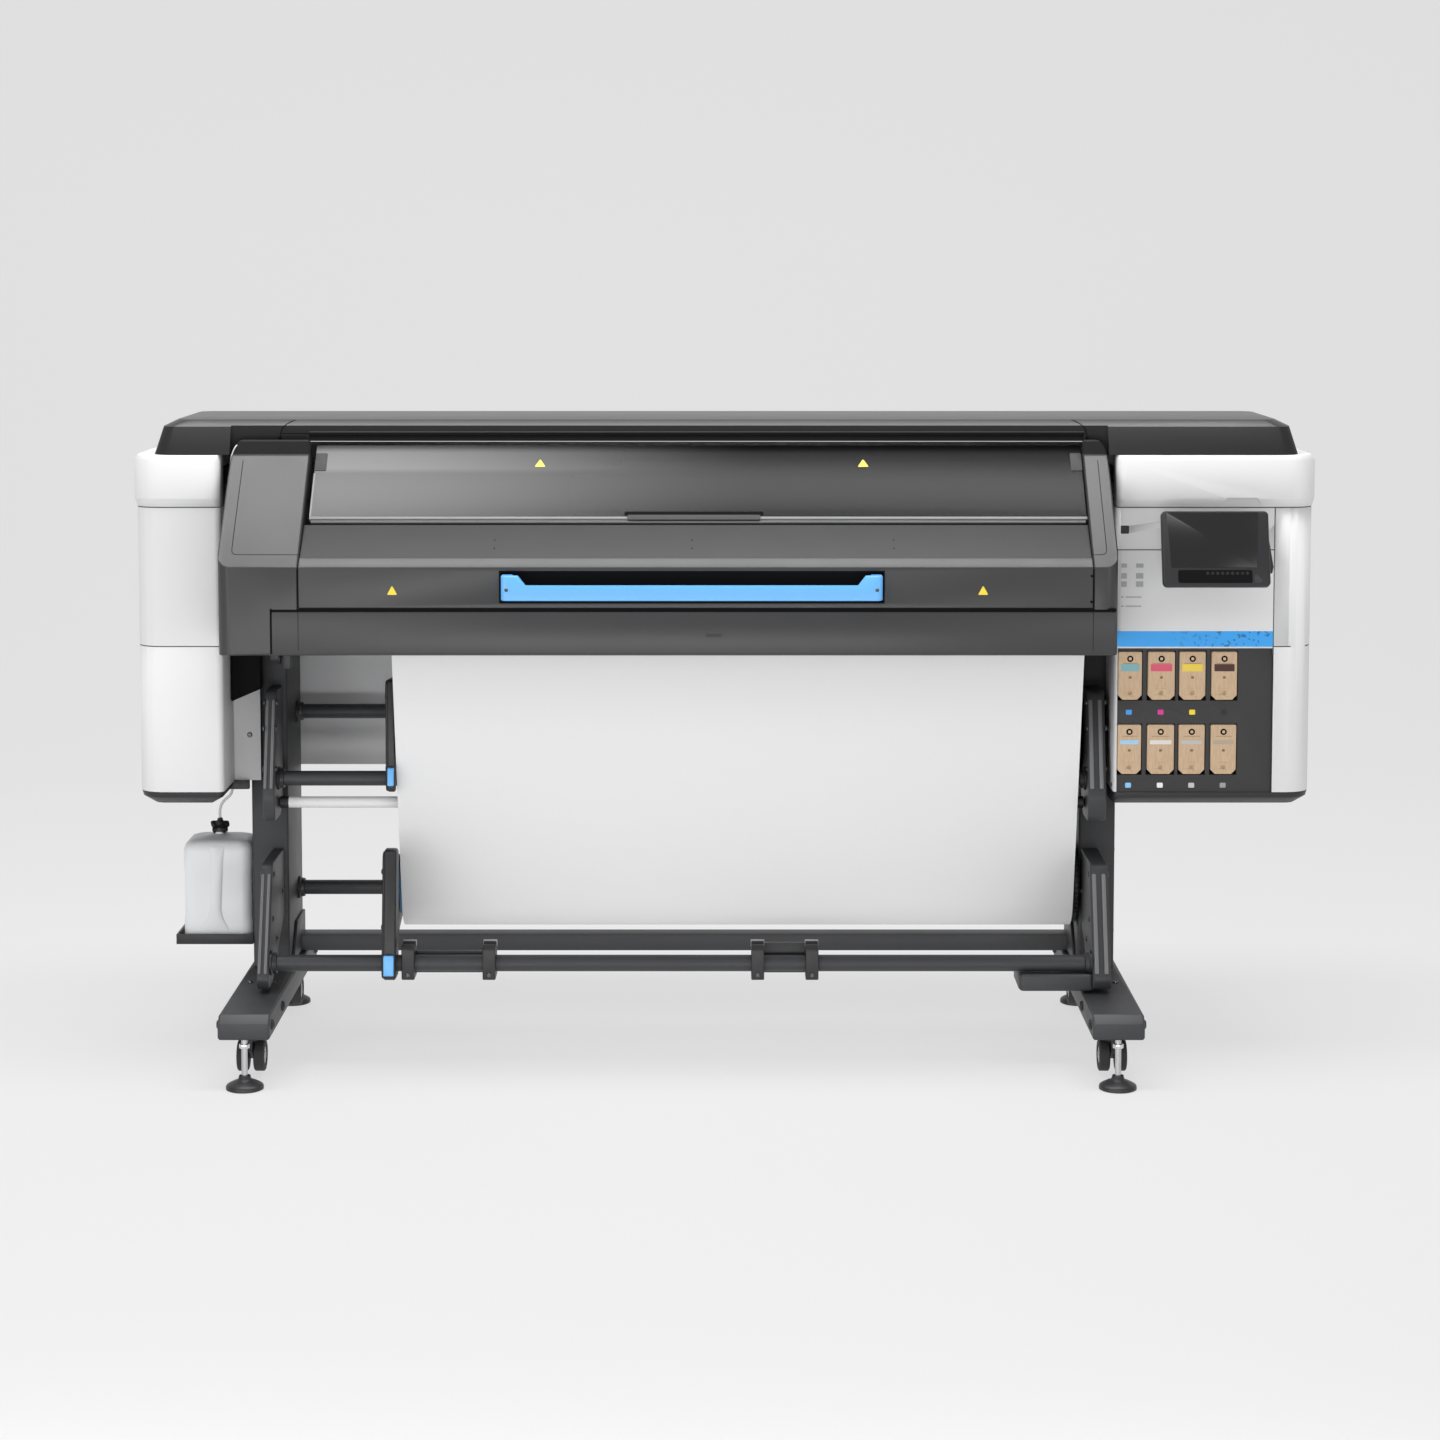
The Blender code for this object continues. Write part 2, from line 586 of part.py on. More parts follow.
def make_right_cabinet(looks):
    step_x = 0.8875
    shell = cabinet_shell(SIDE_X, RIGHT_INNER_X, step_x, (0.84, 0.90))
    (x0, x1), (z0, z1) = BAY_X, BAY_Z
    bay = box((x0, x1), (CABINET_Y[0] - 0.02, CABINET_Y[0] + 0.02), (z0 - 0.02, z1))
    bracket = box((1.000, 1.112), (-0.150, CABINET_Y[0] + 0.002), (1.085, 1.150), 0.006)
    node("right_cabinet", joined(cut(shell, bay), bracket), looks["white"])

    tray = base_tray(SIDE_X, RIGHT_INNER_X, step_x, 1.0)
    front = CABINET_Y[0] + 0.006
    posts = [(a[1] + 0.002, b[0] - 0.002) for a, b in zip(CARTRIDGE_COLUMNS, CARTRIDGE_COLUMNS[1:])]
    levels = ((z0 - 0.010, CARTRIDGE_ROWS[1][0] - 0.002),
              (CARTRIDGE_ROWS[1][1] + 0.002, CARTRIDGE_ROWS[0][0] - 0.002),
              (CARTRIDGE_ROWS[0][1] + 0.002, z1 - GAP))
    depth = (front, front + CARTRIDGE_DEPTH)
    left, right = x0 + GAP, x1 - GAP
    shelves = [box((left, right), depth, z) for z in levels]
    uprights = [box(x, depth, (z0, z1 - GAP)) for x in posts]
    uprights.append(box((CARTRIDGE_COLUMNS[-1][1] + 0.002, right), depth, (z0, z1 - GAP)))
    rear = box((left, right), (depth[1] - 0.004, depth[1] + 0.004), (z0, z1 - GAP))
    node("right_base", joined(tray, *shelves, *uprights, rear), looks["black"])


def make_cartridges(finish):
    """Cardboard ink cartridges with chamfered lower corners, which pull out to the front."""
    front = CABINET_Y[0] + 0.003
    rear = front + CARTRIDGE_DEPTH - 0.008
    for number, ((x0, x1), (z0, z1)) in enumerate(cartridge_places(), 1):
        chamfer = 0.010
        x0 = max(x0, BAY_X[0] + 0.0015)
        outline = rounded(
            (x0, z1, 0.003), (x0, z0 + chamfer), (x0 + chamfer, z0), (x1 - chamfer, z0),
            (x1, z0 + chamfer), (x1, z1, 0.003),
        )
        mesh = softened(prism(outline, "Y", front, rear), 0.0012, 50)
        node(f"ink_cartridge_{number}", mesh, finish, ((x0 + x1) / 2, front, (z0 + z1) / 2))


def make_screen(looks):
    """The touchscreen: a slab that leans back, with a hinge barrel behind it."""
    height, thick = SCREEN_SIZE
    y, z = SCREEN_PIVOT
    lean = math.radians(17)
    up, out = Vector((math.sin(lean), math.cos(lean))), Vector((-math.cos(lean), math.sin(lean)))
    middle = Vector((y - 0.006, z + 0.009))
    corners = [
        middle + up * height * a + out * thick * b
        for a, b in ((-0.5, 0.0), (-0.5, 1.0), (0.5, 1.0), (0.5, 0.0))
    ]
    slab = softened(prism(rounded(*[(p.x, p.y, 0.004) for p in corners]), "X", *SCREEN_X), 0.004)
    barrel = rod("X", (y, z), 0.0205, 1.010, 1.102)
    node("touchscreen", joined(slab, barrel), looks["screen"], (sum(SCREEN_X) / 2, y, z))


# ---- covers ----
def cover_ring(x, y, z, corner):
    plan = rounded(
        (x[0], y[0], corner), (x[1], y[0], corner), (x[1], y[1], corner), (x[0], y[1], corner), steps=5
    )
    return [(a, b, z) for a, b in plan]


def make_top_cover(finish):
    """One shallow cap over both cabinets and the print zone, cut back in front for the hood. Its front
    leans a little up to a chamfer, and its front wall is thick enough to stay whole behind the cut."""
    low, edge, high = CABINET_Z[1] + 0.0006, TOP_Z - COVER_CHAMFER, TOP_Z
    x0, x1, x2 = (-1.2456, 1.2537), (-1.2299, 1.2384), (-1.1989, 1.2074)
    front, rear = (-0.100, COVER_FACE_Y - 0.0025, -0.050), (0.396, 0.330, 0.300)
    wall_y = COVER_FACE_Y + WALL
    rings = [
        cover_ring(x0, (front[0], rear[0]), low, 0.045),
        cover_ring(x1, (front[1], rear[1]), edge, 0.040),
        cover_ring(x2, (front[2], rear[2]), high, 0.034),
    ]
    inner = [
        cover_ring((x0[0] + WALL, x0[1] - WALL), (wall_y, rear[0] - WALL), low - 0.01, 0.041),
        cover_ring((x1[0] + WALL, x1[1] - WALL), (wall_y, rear[1] - WALL), edge - 0.002, 0.038),
        cover_ring((x2[0] + WALL, x2[1] - WALL), (front[2] + WALL, rear[2] - WALL), high - WALL, 0.032),
    ]
    notch = box((HOOD_LEFT_X[0] - 0.001, HOOD_RIGHT_X[1] + 0.001), (-0.2, COVER_FACE_Y), (1.0, 1.5))
    opening = box((HOOD_LEFT_X[1] - 0.004, HOOD_RIGHT_X[0] + 0.004), (-0.2, -0.030), (1.0, 1.370))
    cap = cut(loft(rings), loft(inner), notch, opening)
    node("top_cover", cap, finish)


def make_rear_cover(finish):
    """Folded sheet between the cabinets: behind the print zone above, further forward below."""
    thick = 0.003
    outer = [(0.372, 1.3270), (0.372, 0.900), (0.316, 0.760), (0.316, 0.580)]
    inner = [(y + thick, z) for y, z in reversed(outer)]
    node("rear_cover", prism(outer + inner, "X", LEFT_INNER_X + GAP, 0.8795), finish)


def cheek_outline(inset=0.0):
    front, back = HOOD_FRONT_Y + inset, -0.048
    top = CHEEK_TOP - inset
    return rounded(
        (back, HOOD_BOTTOM_Z + inset), (front, HOOD_BOTTOM_Z + inset, 0.006),
        (front, SLOPE_LOW_Z - inset * 0.4, 0.004), (SLOPE_TOP[0] + inset, SLOPE_TOP[1] - inset * 0.4, 0.010),
        (SLOPE_TOP[0] + inset, top),
        (-0.0670 - inset * 0.2, top), (-0.0670 - inset * 0.2, 1.318), (back, 1.318),
    )


def corner_cutter(x, side, y, radius):
    """Takes the square off a front corner that stands at (x, y); side is where outside lies."""
    turns = [math.pi / 2 * k / 6 for k in range(7)]
    sweep = [(x - side * radius * (1 - math.sin(t)), y + radius * (1 - math.cos(t))) for t in turns]
    outside = [(x + side * 0.02, y + radius), (x + side * 0.02, y - 0.02), (x - side * radius, y - 0.02)]
    return prism([*sweep, *outside], "Z", 0.8, 1.5)


def shoulder_cutter(x, side, top):
    """Takes the top outer corner off a cheek in front view, along a quarter of an ellipse."""
    wide, tall = CHEEK_SHOULDER
    turns = [math.pi / 2 * k / 6 for k in range(7)]
    sweep = [(x - side * wide * (1 - math.cos(t)), top - tall * (1 - math.sin(t))) for t in turns]
    outside = [(x - side * wide, top + 0.02), (x + side * 0.02, top + 0.02), (x + side * 0.02, top - tall)]
    return prism([*sweep, *outside], "Y", -0.4, 0.0)


def make_hood_frame(finish):
    """Two cheeks with rounded outer corners, joined by a bar low behind the loading table."""
    cheeks = []
    for side, (low, high) in ((-1, HOOD_LEFT_X), (1, HOOD_RIGHT_X)):
        outer = low if side < 0 else high
        cheek = softened(prism(cheek_outline(), "X", low, high), 0.003, 50)
        hollow = prism(cheek_outline(WALL), "X", low + WALL, high - WALL)
        inner = (corner_cutter(outer - side * WALL, side, HOOD_FRONT_Y + WALL, CHEEK_CORNER - WALL),
                 shoulder_cutter(outer - side * WALL, side, CHEEK_TOP - WALL))
        reach = box((low + WALL, high - WALL), (-0.10, 0.05), (0.93, 1.30))
        corner = corner_cutter(outer, side, HOOD_FRONT_Y, CHEEK_CORNER)
        shoulder = shoulder_cutter(outer, side, CHEEK_TOP)
        cheeks.append(cut(cheek, corner, shoulder, cut(hollow, *inner), reach))
    bar = box((HOOD_LEFT_X[1] - 0.010, HOOD_RIGHT_X[0] + 0.010), (-0.262, -0.244), (0.930, 0.985))
    apron_left = box((-0.9605, 0.0), (-0.5, -0.2995), (0.90, SPLIT_Z))
    apron_right = box((0.0, 0.8270), (-0.5, -0.2995), (0.90, SPLIT_Z))
    node("hood_frame", cut(joined(cheeks[0], cheeks[1], bar), apron_left, apron_right), finish)


def make_apron(finish):
    front, low, high = HOOD_FRONT_Y, HOOD_BOTTOM_Z, 1.0105
    outline = rounded(
        (front, low, 0.006), (front, high, 0.004), (front + 0.0095, high),
        (front + 0.0095, low + 0.012), (-0.3005, low), steps=2,
    )
    node("lower_apron", prism(outline, "X", -0.960, 0.8265), finish)


def make_window(finish):
    (y0, z0), (y1, z1) = WINDOW_TOP, WINDOW_BOTTOM
    along = (Vector(WINDOW_BOTTOM) - Vector(WINDOW_TOP)).normalized()
    under = Vector((-along.y, along.x)) * 0.006
    outline = [(y0, z0), (y1, z1), (y1 + under.x, z1 + under.y), (y0 + under.x, z0 + under.y)]
    sheet = softened(prism(outline, "X", *WINDOW_X), 0.0015)
    y, z = WINDOW_HINGE
    node("window", sheet, finish, (0, y, z))


def make_loading_table(looks):
    """The front bar with the sloped panel above it; it swings forward and down on its lower edge."""
    front = HOOD_FRONT_Y
    outline = rounded(
        (front, SPLIT_Z + 0.002, 0.003), (front, SLOPE_LOW_Z, 0.003),
        (front + 0.0185, SLOPE_LOW_Z + 0.0185, 0.002),
        (-0.2860, 1.1200, 0.002), (-0.2070, 1.1850), (-0.2000, 1.1790), (-0.270, 1.112, 0.01),
        (-0.282, 1.030, 0.006), (-0.282, SPLIT_Z + 0.002, 0.003),
    )
    y, z = TABLE_HINGE
    solid = softened(prism(outline, "X", HOOD_LEFT_X[1] + 0.001, HOOD_RIGHT_X[0] - 0.001), 0.0012, 60)
    recess = box((HANDLE_X[0] - 0.003, HANDLE_X[1] + 0.003), (-0.5, front + 0.010), (1.029, 1.093))
    table = node("loading_table", cut(solid, recess), looks["dark"], (0, y, z))
    (x0, x1), (z0, z1) = HANDLE_X, HANDLE_Z
    grip = rounded(
        (x0, front - 0.032, 0.012), (x1, front - 0.032, 0.012), (x1, front + 0.0095),
        (x1 - 0.024, front + 0.0095), (x1 - 0.026, front - 0.016, 0.01),
        (x0 + 0.026, front - 0.016, 0.01), (x0 + 0.024, front + 0.0095), (x0, front + 0.0095),
    )
    dip, high = z0 + 0.032, z1 + 0.010
    above = prism(
        [(x0 + 0.052, dip), (x1 - 0.052, dip), (x1 - 0.028, high), (x0 + 0.028, high)], "Y", -0.5, -0.2
    )
    bar = softened(cut(prism(grip, "Z", z0, z1), above), 0.003)
    middle = ((x0 + x1) / 2, front, (z0 + z1) / 2)
    node("front_handle", bar, looks["blue"], middle, table)


def make_bottle(looks):
    (x0, x1), (y0, y1), (z0, z1) = BOTTLE_X, BOTTLE_Y, BOTTLE_Z
    shelf = box((x0 - 0.013, -1.0630), (y0 - 0.012, y1 + 0.012), (0.2105, 0.2150))
    lip = box((x0 - 0.013, x0 - 0.009), (y0 - 0.012, y1 + 0.012), (0.2105, 0.2330))
    front = box((x0 - 0.013, -1.0630), (y0 - 0.012, y0 - 0.008), (0.2105, 0.2330))
    node("bottle_tray", joined(shelf, lip, front), looks["black"])
    cx, cy = CAP_CENTRE
    rings = []
    for grow, z, top in ((0.008, 0.2155, 0), (0, 0.224, 0), (0, z1 - 0.030, 0), (0.003, z1 - 0.018, 0),
                         (0.009, z1 - 0.009, 0.05), (0.009, z1 - 0.004, 0.45), (0.008, z1, 1.0)):
        half_x, half_y = (x1 - x0) / 2 - grow, (y1 - y0) / 2 - grow
        half_x, half_y = (half_x + (0.018 - half_x) * top, half_y + (0.018 - half_y) * top)
        mx, my = (x0 + x1) / 2 + (cx - (x0 + x1) / 2) * top, (y0 + y1) / 2 + (cy - (y0 + y1) / 2) * top
        soft = min(0.022, half_x * 0.95, half_y * 0.95)
        plan = rounded((mx - half_x, my - half_y, soft), (mx + half_x, my - half_y, soft),
                       (mx + half_x, my + half_y, soft), (mx - half_x, my + half_y, soft))
        rings.append([(a, b, z) for a, b in plan])
    star = []
    for k in range(24):
        reach = CAP_RADIUS * (1.0 if k % 4 in (0, 1) else 0.82)
        angle = 2 * math.pi * k / 24
        star.append((cx + reach * math.cos(angle), cy + reach * math.sin(angle)))
    cap = prism(star, "Z", z1 + 0.004, z1 + 0.026)
    neck = rod("Z", (cx, cy), 0.015, z1 - 0.01, z1 + 0.010)
    spout = rod("Z", (cx, cy), 0.006, z1 + 0.02, z1 + 0.034, 12)
    node("waste_bottle", joined(loft(rings), neck, cap, spout), looks["bottle"])


HOSE_ROUTE = (
    (-1.147, 0.150, 0.4845), (-1.147, 0.150, 0.4930), (-1.1465, 0.150, 0.5030), (-1.1440, 0.150, 0.5130),
    (-1.1390, 0.150, 0.5215), (-1.1320, 0.150, 0.5285), (-1.1250, 0.150, 0.5345),
    (-1.1200, 0.150, 0.5410), (-1.1180, 0.150, 0.5490), (-1.1175, 0.150, 0.5585),
)


def make_hose(finish):
    curve = bpy.data.curves.new("bottle_hose", "CURVE")
    curve.dimensions = "3D"
    curve.bevel_depth, curve.bevel_resolution, curve.use_fill_caps = 0.003, 2, True
    line = curve.splines.new("POLY")
    line.points.add(len(HOSE_ROUTE) - 1)
    for point, place in zip(line.points, HOSE_ROUTE):
        point.co = (*place, 1.0)
    curve.materials.append(finish)
    made = bpy.data.objects.new("bottle_hose", curve)
    bpy.context.collection.objects.link(made)


def main():
    for old in list(bpy.data.objects):
        bpy.data.objects.remove(old)
    looks = palette()
    make_stand(looks)
    make_media(looks)
    make_print_zone(looks)
    make_left_cabinet(looks)
    make_right_cabinet(looks)
    make_cartridges(looks["card"])
    make_screen(looks)
    make_top_cover(looks["dark"])
    make_rear_cover(looks["grey"])
    make_hood_frame(looks["dark"])
    make_apron(looks["dark"])
    make_window(looks["glass"])
    make_loading_table(looks)
    make_bottle(looks)
    make_hose(looks["bottle"])


main()
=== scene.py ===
"""Looks of the wide-format printer cutter: fine surfaces, trim, web, hose, stage, lights, camera."""

import json
import math

import bmesh
import bpy
from mathutils import Matrix, Vector


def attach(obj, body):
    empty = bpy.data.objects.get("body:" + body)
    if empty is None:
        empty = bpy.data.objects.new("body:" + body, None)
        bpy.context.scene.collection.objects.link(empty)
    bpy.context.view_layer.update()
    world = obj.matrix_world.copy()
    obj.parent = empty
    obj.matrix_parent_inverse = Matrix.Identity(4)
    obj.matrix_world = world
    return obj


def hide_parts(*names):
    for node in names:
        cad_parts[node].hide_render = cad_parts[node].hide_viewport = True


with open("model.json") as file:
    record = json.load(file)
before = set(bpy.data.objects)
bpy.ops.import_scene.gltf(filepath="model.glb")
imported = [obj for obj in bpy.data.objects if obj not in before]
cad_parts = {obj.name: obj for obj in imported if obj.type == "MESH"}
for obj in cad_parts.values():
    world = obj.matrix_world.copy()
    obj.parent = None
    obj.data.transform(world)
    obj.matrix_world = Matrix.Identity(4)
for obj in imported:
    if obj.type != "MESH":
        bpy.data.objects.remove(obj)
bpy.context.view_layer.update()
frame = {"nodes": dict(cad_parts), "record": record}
scene = bpy.context.scene
FRAME_BODY = "printer_frame"
BODY_OF = {n: body for body, nodes in frame["record"]["behaviour"]["bodies"].items() for n in nodes}
LOOKS = {}


# ---- camera ----
CAMERA_PLACE, CAMERA_PITCH = (-0.010, -7.004, 1.787), -4.95
CAMERA_LENS, CAMERA_SENSOR, CAMERA_SHIFT = 79.6, 36.0, -0.14


def make_camera():
    """A long lens straight in front, at head height. Part of its downward view is pitch, part shift."""
    camera = bpy.data.cameras.new("camera")
    camera.lens, camera.sensor_width, camera.shift_y = CAMERA_LENS, CAMERA_SENSOR, CAMERA_SHIFT
    made = bpy.data.objects.new("camera", camera)
    scene.collection.objects.link(made)
    made.location = CAMERA_PLACE
    made.rotation_euler = (math.radians(90 + CAMERA_PITCH), 0, 0)
    scene.camera = made


# ---- materials ----
def link(tree, source, output, target, socket):
    tree.links.new(source.outputs[output], target.inputs[socket])


def add(tree, kind, **settings):
    made = tree.nodes.new("ShaderNode" + kind)
    for key, value in settings.items():
        if key in made.inputs:
            made.inputs[key].default_value = value
        else:
            setattr(made, key, value)
    return made


def new_material(name, colour, roughness, metallic=0.0):
    made = bpy.data.materials.new(name)
    made.use_nodes = True
    shader = made.node_tree.nodes["Principled BSDF"]
    shader.inputs["Base Color"].default_value = (*colour, 1)
    shader.inputs["Roughness"].default_value = roughness
    shader.inputs["Metallic"].default_value = metallic
    return made, made.node_tree, shader


def placed(tree, stretch=(1, 1, 1)):
    place = add(tree, "TexCoord")
    mapping = add(tree, "Mapping", Scale=stretch)
    link(tree, place, "Object", mapping, "Vector")
    return mapping


def noise(tree, mapping, scale, detail=2.0):
    made = add(tree, "TexNoise", Scale=scale, Detail=detail)
    link(tree, mapping, "Vector", made, "Vector")
    return made


def shade(colour, factor):
    return tuple(min(1.0, c * factor) for c in colour)


RELIEF = 0.0002


def tinted(tree, shader, factor, output, low, high):
    """The surface's colour runs from low to high with a factor."""
    mix = add(tree, "Mix", data_type="RGBA")
    mix.inputs[6].default_value, mix.inputs[7].default_value = (*low, 1), (*high, 1)
    link(tree, factor, output, mix, 0)
    link(tree, mix, 2, shader, "Base Color")


def embossed(tree, shader, height, strength, distance=RELIEF):
    """Relief on the surface, from a texture."""
    relief = add(tree, "Bump", Strength=strength, Distance=distance)
    link(tree, height, "Fac", relief, "Height")
    link(tree, relief, "Normal", shader, "Normal")
    return relief


def fading(tree, parts, axis, low, high, **settings):
    """A factor that runs from 0 to 1 between two places along an axis."""
    fade = add(tree, "MapRange", **settings)
    fade.inputs["From Min"].default_value, fade.inputs["From Max"].default_value = low, high
    link(tree, parts, axis, fade, "Value")
    return fade


def product(tree, one, output, two):
    both = add(tree, "Math", operation="MULTIPLY")
    link(tree, one, output, both, 0)
    link(tree, two, "Result", both, 1)
    return both


def surface(name, colour, roughness, metallic, grain, bump, mottle, patch=4, stretch=(1, 1, 1),
            gloss_spread=0.06, **sockets):
    """A moulded, painted or plated finish: fine grain in the bump, soft patches in colour and gloss."""
    made, tree, shader = new_material(name, colour, roughness, metallic)
    mapping = placed(tree, stretch)
    patches = noise(tree, mapping, patch, 4)
    tinted(tree, shader, patches, "Fac", shade(colour, 1 - mottle), shade(colour, 1 + mottle))
    gloss = add(tree, "MapRange")
    gloss.inputs["To Min"].default_value = max(0.02, roughness - gloss_spread)
    gloss.inputs["To Max"].default_value = roughness + gloss_spread
    link(tree, noise(tree, mapping, patch * 3, 3), "Fac", gloss, "Value")
    link(tree, gloss, "Result", shader, "Roughness")
    embossed(tree, shader, noise(tree, mapping, grain), bump)
    for socket, value in sockets.items():
        shader.inputs[socket.replace("_", " ")].default_value = value
    return made


def cardboard(name):
    """Kraft sleeve: long fibres, faint flutes and darker flecks."""
    colour = (0.60, 0.43, 0.28)
    made, tree, shader = new_material(name, colour, 0.85)
    fibres = noise(tree, placed(tree, (1, 1, 0.12)), 420, 5)
    tinted(tree, shader, fibres, "Fac", shade(colour, 0.72), shade(colour, 1.22))
    flutes = add(tree, "TexWave", Scale=70.0, Distortion=0.6, bands_direction="Z")
    link(tree, placed(tree), "Vector", flutes, "Vector")
    embossed(tree, embossed(tree, shader, fibres, 0.25), flutes, 0.2, 0.0003)
    return made


def wound_paper(name):
    """Ends of a wound roll: the edges of the turns show as fine rings about the roll's own axis."""
    colour = (0.80, 0.80, 0.795)
    made, tree, shader = new_material(name, colour, 0.6)
    fine = noise(tree, placed(tree, (0.02, 1, 1)), 900, 2)
    tinted(tree, shader, fine, "Fac", shade(colour, 0.93), shade(colour, 1.05))
    embossed(tree, shader, fine, 0.1)
    return made


def speckled_blue(name):
    """The strip above the ink bay: sky blue, with darker flecks that thicken to the right."""
    colour = (0.035, 0.36, 0.86)
    made, tree, shader = new_material(name, colour, 0.35)
    mapping = placed(tree)
    flecks = noise(tree, mapping, 95, 1)
    ramp = add(tree, "ValToRGB")
    ramp.color_ramp.elements[0].position, ramp.color_ramp.elements[1].position = 0.60, 0.64
    link(tree, flecks, "Fac", ramp, "Fac")
    parts = add(tree, "SeparateXYZ")
    link(tree, mapping, "Vector", parts, "Vector")
    both = product(tree, ramp, "Color", fading(tree, parts, "X", 0.95, 1.08))
    tinted(tree, shader, both, "Value", colour, shade(colour, 0.45))
    return made


INKS = (
    ("ink_cyan", (0.06, 0.30, 0.80)), ("ink_magenta", (0.70, 0.03, 0.30)),
    ("ink_yellow", (0.90, 0.66, 0.03)), ("ink_black", (0.012, 0.012, 0.013)),
    ("ink_light_cyan", (0.25, 0.55, 0.90)), ("ink_white", (0.85, 0.85, 0.84)),
    ("ink_clear", (0.55, 0.55, 0.55)), ("ink_grey", (0.33, 0.33, 0.34)),
    ("band_teal", (0.20, 0.42, 0.45)), ("band_red", (0.66, 0.09, 0.16)),
    ("band_yellow", (0.80, 0.60, 0.07)), ("band_brown", (0.060, 0.020, 0.014)),
    ("band_light_blue", (0.34, 0.60, 0.85)), ("band_white", (0.72, 0.70, 0.66)),
    ("band_pale_grey", (0.52, 0.50, 0.47)), ("band_grey", (0.45, 0.36, 0.28)),
)


def make_looks():
    """Numbers after a colour: roughness, metallic, grain, bump and mottle."""
    return {
        "white": surface("white_panel", (0.72, 0.72, 0.725), 0.50, 0, 1400, 0.10, 0.012,
                         Specular_IOR_Level=0.35),
        "dark": surface("dark_cover", (0.036, 0.036, 0.037), 0.37, 0, 1100, 0.12, 0.04, gloss_spread=0.03),
        # painted shade: "top" is a darker, duller copy of the dark cover plastic, put on faces that should
        # read darker than the lamps make them
        "top": surface("top_cover", (0.021, 0.021, 0.022), 0.50, 0, 1100, 0.12, 0.04, gloss_spread=0.03,
                       Specular_IOR_Level=0.12),
        "black": surface("black_plastic", (0.016, 0.016, 0.018), 0.42, 0, 1000, 0.2, 0.1),
        "gloss_black": surface("gloss_black", (0.008, 0.008, 0.009), 0.12, 0, 900, 0.02, 0.05,
                               gloss_spread=0.03, Coat_Weight=0.6, Coat_Roughness=0.06),
        "coat": surface("powder_coat", (0.034, 0.035, 0.038), 0.48, 0, 520, 0.35, 0.08),
        "blue": surface("blue_plastic", (0.15, 0.47, 0.95), 0.36, 0, 1300, 0.1, 0.03),
        "strip": speckled_blue("blue_strip"),
        "zinc": surface("zinc_plate", (0.66, 0.66, 0.67), 0.26, 1, 260, 0.08, 0.08),
        "rod": surface("bright_rod", (0.52, 0.52, 0.53), 0.30, 1, 300, 0.05, 0.04, stretch=(1, 1, 8)),
        "bolt": surface("bolt_steel", (0.12, 0.12, 0.125), 0.34, 1, 400, 0.1, 0.1),
        "grey": surface("grey_sheet", (0.82, 0.82, 0.83), 0.42, 0, 700, 0.2, 0.03),
        "media": surface("print_media", (0.78, 0.78, 0.78), 0.55, 0, 1500, 0.08, 0.01, patch=1.5,
                         Sheen_Weight=0.12, Sheen_Roughness=0.5),
        "roll_end": wound_paper("roll_end"),
        "card": cardboard("cardboard"),
        "tube": surface("white_tube", (0.80, 0.80, 0.80), 0.30, 0, 700, 0.08, 0.02),
        "rubber": surface("rubber", (0.022, 0.022, 0.023), 0.72, 0, 600, 0.4, 0.15),
        "bottle": surface("milky_bottle", (0.90, 0.915, 0.93), 0.32, 0, 300, 0.08, 0.02,
                          Transmission_Weight=0.15),
        "hose": surface("clear_hose", (0.80, 0.82, 0.82), 0.22, 0, 500, 0.05, 0.03,
                        Transmission_Weight=0.45),
        "glass": smoked_glass("smoked_window"),
        "screen": surface("screen_glass", (0.004, 0.004, 0.005), 0.20, 0, 200, 0.0, 0.02,
                          gloss_spread=0.01, Specular_IOR_Level=0.8),
        "card_pale": surface("card_pale", (0.62, 0.46, 0.31), 0.8, 0, 700, 0.1, 0.1),
        "card_print": surface("card_print", (0.20, 0.13, 0.08), 0.8, 0, 700, 0.1, 0.1),
        **{name: surface(name, colour, 0.55, 0, 900, 0.08, 0.06) for name, colour in INKS},
        "yellow": surface("yellow_mark", (0.90, 0.70, 0.05), 0.45, 0, 900, 0.05, 0.03),
        "rail": surface("window_rail", (0.16, 0.16, 0.165), 0.35, 0, 900, 0.1, 0.04),
        "hinge": surface("window_hinge_grey", (0.070, 0.070, 0.072), 0.50, 0, 900, 0.1, 0.05,
                         Specular_IOR_Level=0.15),
        "rib": surface("arm_rib", (0.17, 0.17, 0.175), 0.42, 0, 700, 0.2, 0.06),
        "bay": surface("bay_plate", (0.042, 0.042, 0.043), 0.52, 0, 900, 0.15, 0.05,
                       Specular_IOR_Level=0.3),
        # painted shade: dark grey for the floors of the panel gaps
        "seam_grey": surface("panel_gap_shade", (0.10, 0.10, 0.102), 0.7, 0, 600, 0.1, 0.05),
        "seam": surface("seam_shadow", (0.006, 0.006, 0.006), 0.8, 0, 600, 0.1, 0.1,
                        Specular_IOR_Level=0.08),
        "grey_mark": surface("grey_mark", (0.40, 0.41, 0.42), 0.6, 0, 900, 0.05, 0.1),
        "belt": surface("belt", (0.06, 0.055, 0.05), 0.7, 0, 800, 0.4, 0.2),
        "aluminium": surface("aluminium", (0.60, 0.61, 0.62), 0.34, 1, 420, 0.25, 0.05,
                             stretch=(0.04, 1, 1)),
    }


